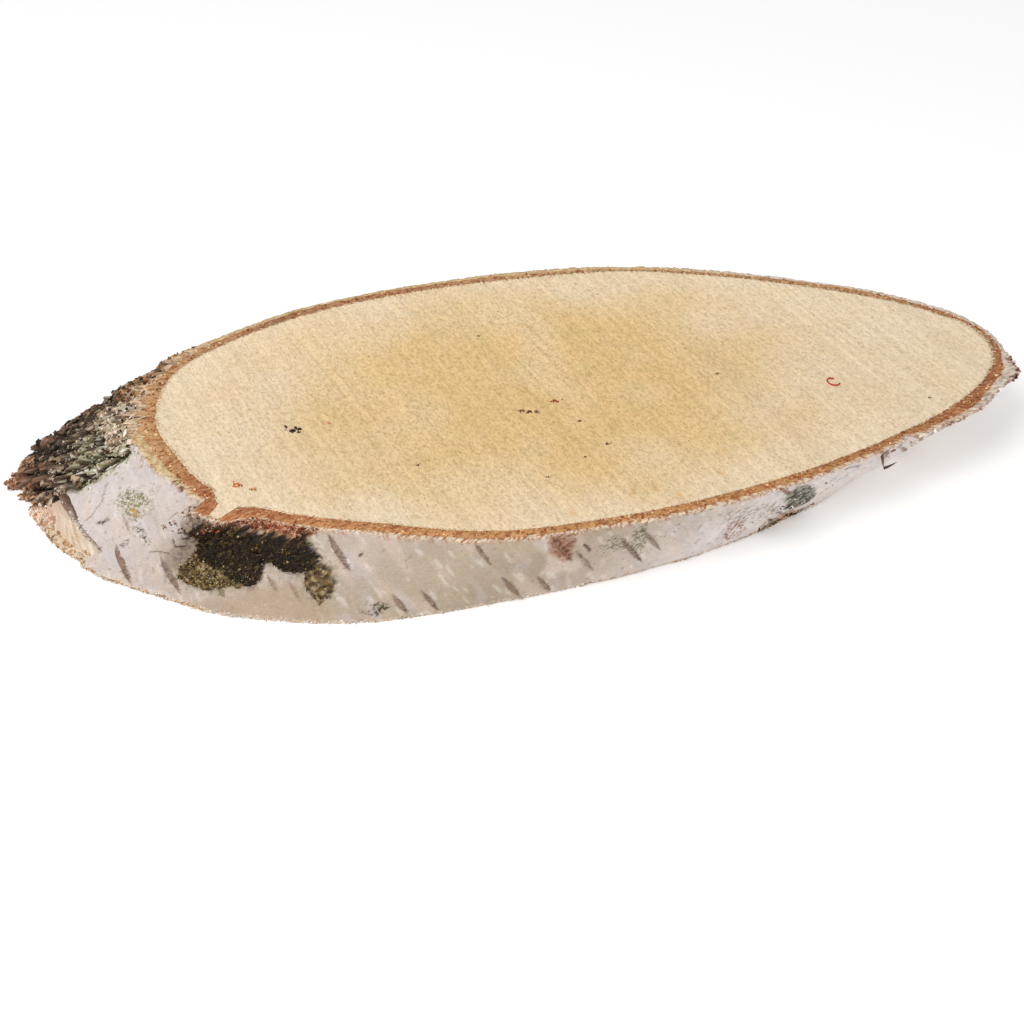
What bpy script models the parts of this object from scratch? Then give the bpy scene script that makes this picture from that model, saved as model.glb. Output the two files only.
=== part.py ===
"""Birch wood slice, an oblique cut across a birch log.

Two level saw cuts go through a log whose axis leans, so the slice is a long oval slab with leaning walls.
Metres, +Z up. It lies on its underside, and the origin is the bottom centre of its bounding box.

A place on the bark is its angle round the log's axis in degrees, 0 at the end where the wall overhangs,
and its height above the underside in millimetres.
"""

import math
import random

import bmesh
import bpy
from mathutils import Vector, noise

MM = 0.001

# The log and the cut
THICKNESS = 14.4
LEAN = math.radians(57.3)  # the log's axis leans this far from the vertical, towards +X
LOG_RADIUS = 49.8

# Radii across the log's axis, in mm at even steps round it from -180 degrees
TOP_BARK = (47.3, 47.0, 48.2, 50.7, 50.9, 53.1, 51.4, 49.7, 48.2, 48.4, 50.8, 51.4,
            51.1, 50.2, 48.7, 47.8, 48.9, 50.7, 51.0, 51.0, 51.0, 50.2, 50.2, 48.6)
UNDERSIDE_BARK = (47.9, 47.0, 48.1, 49.7, 53.3, 54.1, 51.3, 49.6, 48.7, 48.3, 48.8, 51.8,
                  51.4, 50.4, 49.0, 48.1, 49.1, 50.6, 51.3, 51.4, 51.3, 50.8, 51.4, 50.4)
WOOD = (44.3, 44.1, 46.1, 47.7, 48.0, 50.2, 48.6, 46.7, 45.7, 45.7, 47.3, 49.0,
        49.7, 48.2, 46.4, 45.5, 46.4, 48.1, 47.6, 47.8, 48.0, 47.5, 47.1, 45.3)

# How finely the solid is divided
AROUND = 252
ROWS = 15
TOP_RINGS = 3
UNDERSIDE_RINGS = 1
INSET = 0.05

# The edges: a groove where the wood meets the bark, and torn rims
LEAST_BARK = 1.0
BARK_DROP = 0.15
RIM_SHARE = 0.6  # how far out across the bark its rim starts
GROOVE_DEPTH = 0.4
GROOVE_SHARE = 0.2  # how far out across the bark the groove's bottom lies
GROOVE_INNER = 0.4
RIM_CHIP = 0.3
CHIP_SIZE = 1.8
FRINGE_LIFT = 0.5
FRINGE_SIZE = 1.6

# The smooth bark's slow swell
SWELL = 0.35
SWELL_SIZE = 9.0

# Rough furrowed bark round the end that runs out along the underside
ROUGH_MIDDLE = 165.0
ROUGH_HALF = 25.0
ROUGH_RAGGED = 5.0
ROUGH_RAGGED_SIZE = 7.0
ROUGH_FADE = 4.0
FURROW_DEPTH = 1.7
FURROW_SPACING = 3.4
FURROW_LENGTH = 20.0
FURROW_STEEP = 4.0
CRACK_SPACING = 5.7
CRACK_LENGTH = 6.0
CRACK_STEEP = 7.0
PLATE_LEVEL = 0.75  # the share of the depth by which a plate's top stands below the full rise

# A branch knot under the upper rim, where the wood runs out through the bark
KNOT = {"angle": -140.5, "height": 14.4, "half_angle": 4.6, "half_height": 6.0}
KNOT_SWELL = 2.8
KNOT_WOOD = 4.4
KNOT_WOOD_HALF = 3.4

# Pads of moss below the knot and near the right end: angle, height, half angle, half height, depth
MOSS = (
    (-134.0, 8.4, 7.5, 5.2, 1.3),
    (-124.0, 9.6, 6.5, 3.8, 1.1),
    (-115.5, 5.6, 3.2, 2.4, 0.8),
    (-58.5, 9.0, 5.0, 3.4, 0.5),
)
MOSS_RAGGED_SIZE = 3.0
MOSS_FADE = 0.45
MOSS_LUMP_SIZE = 2.2

# Lenticels, which run round the log: first angle, last angle, height at the middle
LENTICELS = (
    (-125.8, -115.8, 12.2),
    (-140.2, -131.5, 3.0),
    (-107.5, -102.0, 3.2),
    (-104.5, -98.2, 3.0),
    (-106.8, -100.5, 11.8),
    (-97.0, -89.0, 3.6),
    (-91.5, -84.8, 2.5),
    (-98.8, -89.2, 10.8),
    (-91.8, -83.2, 6.8),
    (-87.5, -75.8, 6.8),
    (-86.8, -75.8, 8.8),
    (-70.2, -64.5, 12.9),
    (-154.8, -145.0, 3.5),
)
LENTICEL_HALF_WIDTH = 1.2
LENTICEL_RISE = 0.7
HIDDEN_LENTICELS = 30
HIDDEN_SEED = 11
HIDDEN_FIRST = -62.0
HIDDEN_LAST = 132.0

# Where the papery outer bark has peeled off, low down near the long end
PEELED = {"angle": -160.0, "height": 1.2, "half_angle": 14.0, "half_height": 3.4}
PEEL_DEPTH = 0.6

# A split in the near rim, and a small hard lump at the overhanging tip
SPLIT = {"angle": -45.0, "height": 13.6, "half_angle": 2.4, "half_height": 5.0}
SPLIT_DEPTH = 1.3
TIP_LUMP = {"angle": -15.5, "height": 12.8, "half_angle": 5.5, "half_height": 3.6}
TIP_LUMP_RISE = 2.6

COLOURS = {
    "birch_wood": (0.80, 0.68, 0.47),
    "inner_bark": (0.36, 0.17, 0.08),
    "white_bark": (0.76, 0.73, 0.70),
    "rough_bark": (0.13, 0.10, 0.08),
    "moss": (0.05, 0.05, 0.03),
}
ROUGHNESS = {"birch_wood": 0.7, "inner_bark": 0.85, "white_bark": 0.65, "rough_bark": 0.9, "moss": 0.95}


def between(low, high, value):
    """0 below low, 1 above high, and smooth between them."""
    share = min(1.0, max(0.0, (value - low) / (high - low)))
    return share * share * (3 - 2 * share)


def turn(angle, middle):
    """The angle from the middle, from -180 to 180 degrees."""
    return (angle - middle + 180) % 360 - 180


def smooth_ring(radii, angle):
    """The radius at an angle, on the closed smooth curve through radii at even steps from -180 degrees."""
    place = (angle + 180) / 360 * len(radii)
    first = math.floor(place)
    part = place - first
    a, b, c, d = (radii[(first + step) % len(radii)] for step in (-1, 0, 1, 2))
    bend = 2 * a - 5 * b + 4 * c - d + part * (3 * (b - c) + d - a)
    return b + 0.5 * part * (c - a + part * bend)


def along_log(angle, radius, height):
    """How far along the log's axis a place lies, from the axis's start on the underside."""
    return (height + radius * math.cos(math.radians(angle)) * math.sin(LEAN)) / math.cos(LEAN)


def spot(place, angle, height):
    """1 at the middle of a round spot on the bark, falling smoothly to 0 at its edge."""
    aside = turn(angle, place["angle"]) / place["half_angle"]
    up = (height - place["height"]) / place["half_height"]
    return between(0, 1, 1 - math.hypot(aside, up))


def wobble(angle, along, size, layer=0.0):
    """Smooth noise on the log, about -1 to 1, with blobs of this size in mm."""
    across = math.radians(angle)
    place = Vector((math.cos(across), math.sin(across), 0)) * LOG_RADIUS
    return noise.noise((place + Vector((0, 0, along + 100 * layer))) / size)


def roughness(angle, along):
    """1 on the rough furrowed bark and 0 on the smooth white bark."""
    reach = ROUGH_HALF + ROUGH_RAGGED * wobble(angle, along, ROUGH_RAGGED_SIZE, 1)
    return 1 - between(reach - ROUGH_FADE, reach, abs(turn(angle, ROUGH_MIDDLE)))


def furrows(angle, along):
    """Flat plates parted by furrows that run along the log, and by short cracks across them."""
    across = math.radians(angle % 360) * LOG_RADIUS
    furrow = abs(noise.noise(Vector((across / FURROW_SPACING, along / FURROW_LENGTH, 3))))
    crack = abs(noise.noise(Vector((across / CRACK_SPACING, along / CRACK_LENGTH, 8))))
    return min(1.0, FURROW_STEEP * furrow, CRACK_STEEP * crack) - PLATE_LEVEL


def moss(angle, height, along):
    """The depth of moss here, and 0 where there is none."""
    depth = 0.0
    for middle, up, half_angle, half_height, full in MOSS:
        aside = turn(angle, middle) / half_angle
        reach = math.hypot(aside, (height - up) / half_height)
        edge = 1 + wobble(angle, along, MOSS_RAGGED_SIZE, 2) / 2
        depth = max(depth, full * (1 - between(edge - MOSS_FADE, edge, reach)))
    return depth * (1 + wobble(angle, along, MOSS_LUMP_SIZE, 4) / 2)


def hidden_lenticels():
    """Lenticels on the far side and the overhanging end, drawn with a fixed seed."""
    draw = random.Random(HIDDEN_SEED)
    found = []
    for _ in range(HIDDEN_LENTICELS):
        start = draw.uniform(HIDDEN_FIRST, HIDDEN_LAST)
        found.append((start, start + draw.uniform(5.0, 11.0), draw.uniform(1.5, 13.0)))
    return found


def smooth_radius(angle, height):
    """The bark's outer radius without its relief."""
    up = height / THICKNESS
    return up * smooth_ring(TOP_BARK, angle) + (1 - up) * smooth_ring(UNDERSIDE_BARK, angle)


def lenticels(marks, angle, along):
    """The rise of the nearest lenticel, a lens shape whose long axis runs round the log."""
    rise = 0.0
    for start, end, up in marks:
        middle = (start + end) / 2
        aside = turn(angle, middle) / ((end - start) / 2)
        if abs(aside) > 1:
            continue
        across = (along - along_log(middle, smooth_radius(middle, up), up)) / LENTICEL_HALF_WIDTH
        rise = max(rise, LENTICEL_RISE * (1 - between(0.3, 1.0, math.hypot(aside, across))))
    return rise


def bark_radius(marks, angle, height):
    """The bark's outer radius, with its plates, lenticels, knot, moss and peeled place."""
    radius = smooth_radius(angle, height)
    along = along_log(angle, radius, height)
    rough = roughness(angle, along)
    radius += SWELL * wobble(angle, along, SWELL_SIZE)
    radius += rough * FURROW_DEPTH * furrows(angle, along)
    radius += lenticels(marks, angle, along)
    radius += moss(angle, height, along)
    radius += KNOT_SWELL * spot(KNOT, angle, height)
    radius -= PEEL_DEPTH * between(0.1, 0.4, spot(PEELED, angle, height))
    radius -= SPLIT_DEPTH * spot(SPLIT, angle, height)
    radius += TIP_LUMP_RISE * spot(TIP_LUMP, angle, height)
    return radius


def wood_radius(angle, outer):
    """The wood's edge on a cut face, with the knot's wood running out into the bark."""
    run_out = 1 - between(0.2, 1.0, abs(turn(angle, KNOT["angle"])) / KNOT_WOOD_HALF)
    return min(smooth_ring(WOOD, angle) + KNOT_WOOD * run_out, outer - LEAST_BARK)


def on_log(angle, radius, height):
    """The point at this angle round the log's axis, this far from it, at this height, in mm."""
    across = math.radians(angle)
    x = radius * math.cos(across) / math.cos(LEAN) + height * math.tan(LEAN)
    return Vector((x, radius * math.sin(across), height))


def divided_cylinder(bm):
    """A cylinder of radius 1 and height 1, with rows round its wall and rings inset into its ends.

    Returns each vertex's place: its angle, its height from 0 to 1, and its ring, 0 on wall and rims.
    """
    bmesh.ops.create_cone(bm, cap_ends=True, segments=AROUND, radius1=1, radius2=1, depth=1)
    upright = [edge for edge in bm.edges if abs(edge.verts[0].co.z - edge.verts[1].co.z) > 0.5]
    bmesh.ops.subdivide_edges(bm, edges=upright, cuts=ROWS - 1, use_grid_fill=True)
    caps = sorted((face for face in bm.faces if len(face.verts) == AROUND), key=face_height)
    for cap, rings in zip(caps, (UNDERSIDE_RINGS, TOP_RINGS)):
        for _ in range(rings):
            bmesh.ops.inset_region(bm, faces=[cap], thickness=INSET, use_even_offset=True)
    places = {}
    for vertex in bm.verts:
        x, y, z = vertex.co
        places[vertex] = (math.degrees(math.atan2(y, x)), z + 0.5, round((1 - math.hypot(x, y)) / INSET))
    return places


def face_height(face):
    return face.calc_center_median().z


def wall_point(marks, angle, share):
    """A point on the bark's wall, whose rims are chipped at the top and torn at the underside."""
    along = along_log(angle, LOG_RADIUS, share * THICKNESS)
    low = FRINGE_LIFT * between(-0.3, 0.5, wobble(angle, along, FRINGE_SIZE, 5))
    high = THICKNESS - BARK_DROP - RIM_CHIP * between(-0.2, 0.6, wobble(angle, along, CHIP_SIZE, 6))
    height = low + share * (high - low)
    return on_log(angle, bark_radius(marks, angle, height), height)


def face_point(marks, angle, share, ring):
    """A point on a cut face: the bark's rim slopes to a groove, and inside it the wood is flat."""
    outer = bark_radius(marks, angle, share * THICKNESS)
    wood = wood_radius(angle, outer)
    if share < 0.5:
        return on_log(angle, wood, 0)
    bark = outer - wood
    radius = (wood + RIM_SHARE * bark, wood + GROOVE_SHARE * bark, wood - GROOVE_INNER)[ring - 1]
    drop = (BARK_DROP, GROOVE_DEPTH, 0)[ring - 1]
    return on_log(angle, radius, THICKNESS - drop)


def shape_slice(bm):
    """Moves each vertex of a plain cylinder to its place on the log, and returns those places."""
    marks = list(LENTICELS) + hidden_lenticels()
    places = divided_cylinder(bm)
    for vertex, (angle, share, ring) in places.items():
        point = face_point(marks, angle, share, ring) if ring else wall_point(marks, angle, share)
        vertex.co = point * MM
    return places


def paint_slice(bm, places, slots):
    """Gives each face the material of what it is: wood, inner bark, white bark, rough bark or moss."""
    for face in bm.faces:
        rings = [places[vertex][2] for vertex in face.verts]
        angle, share, _ = places[face.verts[0]]
        height = share * THICKNESS
        along = along_log(angle, LOG_RADIUS, height)
        if min(rings) == 2 or len(face.verts) == AROUND:
            name = "birch_wood"
        elif max(rings) > 0:
            name = "inner_bark"
        elif moss(angle, height, along) > 0.3:
            name = "moss"
        elif roughness(angle, along) > 0.5:
            name = "rough_bark"
        else:
            name = "white_bark"
        face.material_index = slots.index(name)
        face.smooth = name != "birch_wood"


def centre_on_box(bm):
    """Moves the slice so that the origin is the bottom centre of its box."""
    lows = [min(vertex.co[axis] for vertex in bm.verts) for axis in range(3)]
    highs = [max(vertex.co[axis] for vertex in bm.verts) for axis in range(3)]
    shift = Vector(((lows[0] + highs[0]) / 2, (lows[1] + highs[1]) / 2, lows[2]))
    bmesh.ops.translate(bm, verts=bm.verts, vec=-shift)


def make_material(name):
    material = bpy.data.materials.new(name)
    material.use_nodes = True
    shader = material.node_tree.nodes["Principled BSDF"]
    shader.inputs["Base Color"].default_value = (*COLOURS[name], 1)
    shader.inputs["Roughness"].default_value = ROUGHNESS[name]
    shader.inputs["Metallic"].default_value = 0
    return material


def make_slice(collection):
    mesh = bpy.data.meshes.new("birch_slice")
    slots = list(COLOURS)
    for name in slots:
        mesh.materials.append(make_material(name))
    bm = bmesh.new()
    places = shape_slice(bm)
    paint_slice(bm, places, slots)
    centre_on_box(bm)
    bmesh.ops.recalc_face_normals(bm, faces=bm.faces)
    bm.to_mesh(mesh)
    bm.free()
    mesh.set_sharp_from_angle(angle=math.radians(50))
    piece = bpy.data.objects.new("birch_slice", mesh)
    collection.objects.link(piece)
    return piece


def main():
    for old in list(bpy.data.objects):
        bpy.data.objects.remove(old, do_unlink=True)
    collection = bpy.data.collections.new("birch_wood_slice")
    bpy.context.scene.collection.children.link(collection)
    make_slice(collection)


main()
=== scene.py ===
"""Birch wood slice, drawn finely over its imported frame, with a camera, light and a floor.

The CAD node is one faceted solid. Here the slice is drawn again on the same outlines and relief: the wood,
the crumbly inner bark, the outer bark with its furrows, lenticels and stains, and the moss, lichen, flakes
and torn fibres on it. Lengths are in millimetres until a mesh is made, and colours are sRGB from 0 to 255.

A place on the bark is its angle round the log's axis in degrees, and its height above the underside. Small
numbers that follow a size in the noise calls only tell one layer of noise from another.
"""

import math
import random

import bpy
import numpy as np
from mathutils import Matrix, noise


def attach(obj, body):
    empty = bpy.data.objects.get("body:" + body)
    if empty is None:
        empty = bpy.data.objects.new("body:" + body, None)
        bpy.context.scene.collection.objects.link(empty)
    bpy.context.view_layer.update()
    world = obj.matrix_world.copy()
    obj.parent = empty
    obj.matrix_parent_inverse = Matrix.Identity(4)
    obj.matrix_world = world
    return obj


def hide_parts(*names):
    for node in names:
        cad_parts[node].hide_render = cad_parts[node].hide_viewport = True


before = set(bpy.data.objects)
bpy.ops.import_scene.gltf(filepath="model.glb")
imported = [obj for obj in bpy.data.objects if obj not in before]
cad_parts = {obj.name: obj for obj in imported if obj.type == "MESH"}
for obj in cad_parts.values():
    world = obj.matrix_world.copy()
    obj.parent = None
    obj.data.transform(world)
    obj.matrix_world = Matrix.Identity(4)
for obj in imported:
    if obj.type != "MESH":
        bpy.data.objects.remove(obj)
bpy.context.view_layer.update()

MM = 0.001
FLOOR_HALF = 10.0

# The log and the cut, as in the frame's source
THICKNESS = 14.4
LEAN = math.radians(57.3)
LOG_RADIUS = 49.8
LOG_START = np.array((-13.21, 0.566, 0.0))
TOP_BARK = (47.3, 47.0, 48.2, 50.7, 50.9, 53.1, 51.4, 49.7, 48.2, 48.4, 50.8, 51.4,
            51.1, 50.2, 48.7, 47.8, 48.9, 50.7, 51.0, 51.0, 51.0, 50.2, 50.2, 48.6)
UNDERSIDE_BARK = (47.9, 47.0, 48.1, 49.7, 53.3, 54.1, 51.3, 49.6, 48.7, 48.3, 48.8, 51.8,
                  51.4, 50.4, 49.0, 48.1, 49.1, 50.6, 51.3, 51.4, 51.3, 50.8, 51.4, 50.4)
WOOD = (44.3, 44.1, 46.1, 47.7, 48.0, 50.2, 48.6, 46.7, 45.7, 45.7, 47.3, 49.0,
        49.7, 48.2, 46.4, 45.5, 46.4, 48.1, 47.6, 47.8, 48.0, 47.5, 47.1, 45.3)
BARK_DROP = 0.15
RIM_CHIP = 0.3
CHIP_SIZE = 1.8
FRINGE_LIFT = 0.5
FRINGE_SIZE = 1.6
SWELL = 0.35
SWELL_SIZE = 9.0
FURROW_DEPTH = 1.7
FURROW_SPACING = 3.4
FURROW_LENGTH = 20.0
FURROW_STEEP = 4.0
CRACK_SPACING = 5.7
CRACK_LENGTH = 6.0
CRACK_STEEP = 7.0
PLATE_LEVEL = 0.75
KNOT = (-141.0, 14.4, 6.5, 6.0)
KNOT_SWELL = 2.8
PEEL_DEPTH = 0.6
SPLIT = (-45.0, 13.6, 2.4, 5.0)
SPLIT_DEPTH = 1.3
TIP_LUMP = (-15.5, 12.8, 5.5, 3.6)
TIP_LUMP_RISE = 1.6

# At the knot the wood's edge swells, and a narrow lobe of wood runs out through the bark and leans aside
FOOT_ANGLE = -142.4
FOOT_RISE = 2.1
FOOT_REACH = (7.5, 5.2)
LOBE_ANGLE = -142.2
LOBE_HALF = 1.1
LOBE_RISE = 3.3
LOBE_LEAN = 0.67
LEAN_REACH = 9.0

# How the pieces meet inside the slice, how low and high small ones reach, and how finely all are drawn
LEAST_RING = 0.9
LEAST_RIM = 0.25
JOIN_INSET = 1.0
LEAST_HEIGHT = 0.02
MOST_RISE = 1.2
END_DIP = 0.3
WOOD_COLUMNS = 760
RING_COLUMNS = 1900
RIM_STEPS = (0.12, 0.3, 0.5, 0.7, 0.9, 1.0)

# Stretches of outer bark: name, slot, first and last angle, columns and rows
STRETCHES = (
    ("near_bark", "white_bark", -168.3, 10.3, 780, 112),
    ("far_bark", "white_bark", 9.7, 138.3, 620, 42),
    ("rough_bark", "rough_bark", 137.7, 192.3, 640, 100),
)

# Lenticels: first angle, last angle, height at the middle, half width in mm, how dark
LENTICELS = (
    (-124.3, -115.4, 11.0, 0.75, 0.9), (-140.8, -131.0, 3.5, 0.75, 1.0), (-107.5, -102.0, 3.2, 0.7, 0.8),
    (-104.5, -98.2, 3.0, 0.6, 0.8), (-124.2, -120.0, 5.5, 0.6, 0.6), (-120.5, -116.0, 4.7, 0.5, 0.6),
    (-128.0, -125.2, 3.2, 0.6, 0.8), (-106.8, -100.5, 11.8, 0.6, 0.7), (-97.0, -89.0, 3.5, 0.7, 0.8),
    (-91.5, -84.8, 2.5, 0.6, 0.7), (-98.8, -89.2, 10.7, 0.8, 0.7), (-91.8, -83.2, 6.7, 0.6, 0.6),
    (-87.5, -75.8, 6.7, 0.7, 0.8), (-86.8, -75.8, 8.7, 0.6, 0.6), (-91.8, -89.0, 10.0, 0.4, 0.9),
    (-178.5, -162.0, 4.3, 0.9, 1.0), (-150.3, -139.2, 2.7, 0.75, 1.0), (-157.0, -150.0, 7.1, 0.5, 0.35),
    (-70.0, -64.5, 12.9, 0.6, 0.8),
)
LENTICEL_RISE = 0.3
LENTICEL_SLIM = 0.68
HIDDEN_LENTICELS = 30
HIDDEN_SEED = 11
HIDDEN_FIRST = -62.0
HIDDEN_LAST = 132.0

# Where the rough bark ends against the smooth bark, by height, and its far end
ROUGH_EDGE_HEIGHTS = (0.0, 3.5, 4.9, 6.2, 7.7, 11.2, 13.2, 14.4)
ROUGH_EDGE_ANGLES = (182.0, 184.0, 185.5, 188.5, 189.5, 189.0, 186.5, 181.0)
ROUGH_FAR_END = 140.0
ROUGH_MIDDLE = 165.0

# The outer bark's own share of the rim, by angle
RIM_ANGLES = (-180, -165, -150, -128, -112, -60, -30, -15, 0, 20, 40, 60, 75, 90, 120, 150, 170, 180)
RIM_SHARES = (0.62, 0.62, 0.9, 0.92, 0.74, 0.7, 0.68, 0.52, 0.72,
              0.6, 0.85, 0.5, 0.4, 0.64, 0.8, 0.6, 0.6, 0.62)

# The smooth bark's tone, by angle. Round -50 to -20 degrees, where the wall overhangs and faces down, the tone
# is raised: a painted highlight against the shade that falls there.
TONE_ANGLES = (-180, -160, -140, -116, -109, -100, -92, -82, -70, -50, -20, 20, 90, 140, 180)
TONES = (
    (204, 193, 187), (206, 195, 189), (190, 175, 165), (180, 163, 148), (171, 154, 135), (169, 152, 131),
    (168, 151, 132), (184, 170, 157), (205, 195, 190), (212, 202, 196), (228, 216, 206), (200, 188, 178),
    (202, 192, 182), (198, 186, 172), (204, 193, 187),
)

# The inner bark's tone on the sawn face, by angle
RING_ANGLES = (-180, -165, -150, -130, -115, -100, -60, -35, 0, 30, 60, 90, 110, 130, 145, 165, 180)
RING_TONES = (
    (196, 148, 100), (198, 150, 102), (180, 116, 76), (190, 126, 80), (198, 142, 90), (200, 146, 92),
    (190, 134, 82), (172, 112, 70), (166, 106, 68), (188, 138, 92), (190, 144, 100), (200, 154, 110),
    (174, 120, 82), (172, 124, 88), (190, 146, 102), (202, 156, 110), (196, 148, 100),
)

# On the sawn face in mm: orange smudges by radius, specks by size and colour, and the red thread's way
SMUDGES = (
    (4.9, -19.7, 0.9), (-0.8, -19.2, 0.8), (12.8, -41.6, 1.0), (17.2, -40.5, 0.8), (21.1, -43.4, 0.9),
    (0.3, -45.8, 0.9), (-23.2, -43.4, 0.8), (32.3, -32.9, 0.8), (30.8, -37.7, 0.7), (67.5, 30.1, 0.9),
)
SPECKS = (
    (-46.6, -5.7, 1.2, (58, 44, 34)), (-59.5, -23.1, 0.8, (190, 100, 40)), (-56.8, -25.1, 0.65, (186, 116, 48)),
    (-39.8, -4.4, 0.45, (206, 130, 110)), (6.0, -5.5, 0.7, (156, 84, 48)), (9.1, -14.1, 0.4, (66, 46, 26)),
    (12.4, -23.5, 0.38, (74, 54, 30)), (-1.6, -32.6, 0.34, (80, 58, 32)), (-3.7, 23.9, 0.34, (86, 64, 36)),
    (6.9, -27.2, 0.3, (80, 58, 32)), (41.1, -2.0, 0.34, (84, 66, 44)), (80.2, -20.1, 0.34, (96, 70, 46)),
    (-25.1, -23.3, 0.34, (96, 72, 44)), (-1.4, -8.0, 0.6, (112, 74, 46)), (0.0, -8.5, 0.6, (104, 68, 44)),
    (1.5, -9.0, 0.5, (120, 80, 50)),
)
SPECK_GRAINS = 14
THREAD = (
    (63.9, -9.1), (62.9, -8.8), (62.3, -9.4), (62.3, -10.6), (62.9, -11.7), (63.7, -11.9), (64.5, -11.0),
)
THREAD_RADIUS = 0.15

# Moss: its depth, how much of it is olive, and its outline in places on the bark
MOSS = (
    (1.1, 0.0, (
        (-141.0, 13.6), (-138.4, 13.9), (-136.3, 13.2), (-132.7, 12.3), (-127.6, 12.2), (-126.9, 13.2),
        (-122.7, 11.2), (-120.4, 9.6), (-120, 7.6), (-121.6, 7.4), (-126.2, 8.7), (-129.4, 10), (-126.5, 8.2),
        (-124.5, 6.4), (-124.2, 5), (-126.8, 5.2), (-130.3, 6.5), (-134, 6.8), (-137.7, 9.1))),
    (0.55, 0.8, (
        (-135.5, 4.7), (-136.6, 6.9), (-138.2, 9.4), (-134, 7.4), (-130.3, 6.9), (-126.3, 5.6), (-124.1, 4.9),
        (-125.8, 4.6), (-127.3, 3.6), (-129.3, 3), (-132.1, 3.1), (-134.2, 3.6))),
    (0.35, 0.75, (
        (-121, 8.2), (-120.6, 9.8), (-118.3, 8.9), (-114.9, 6.2), (-113.6, 4.4), (-113.7, 3.4), (-116, 4.4),
        (-118, 5.8), (-119, 6.8))),
)
TORN_PATCH = ((-138, 13.9), (-136.4, 14.6), (-127.5, 14.6), (-125.8, 13.6), (-127, 12.2), (-129, 12),
              (-132, 12.2), (-136, 13))
DARK_SPOT = ((-65, 11.6), (-65.8, 13.2), (-62.8, 12.4), (-57, 9), (-51.4, 5.2), (-51.4, 3.7), (-55.6, 5),
             (-61.8, 8.8))
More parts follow.
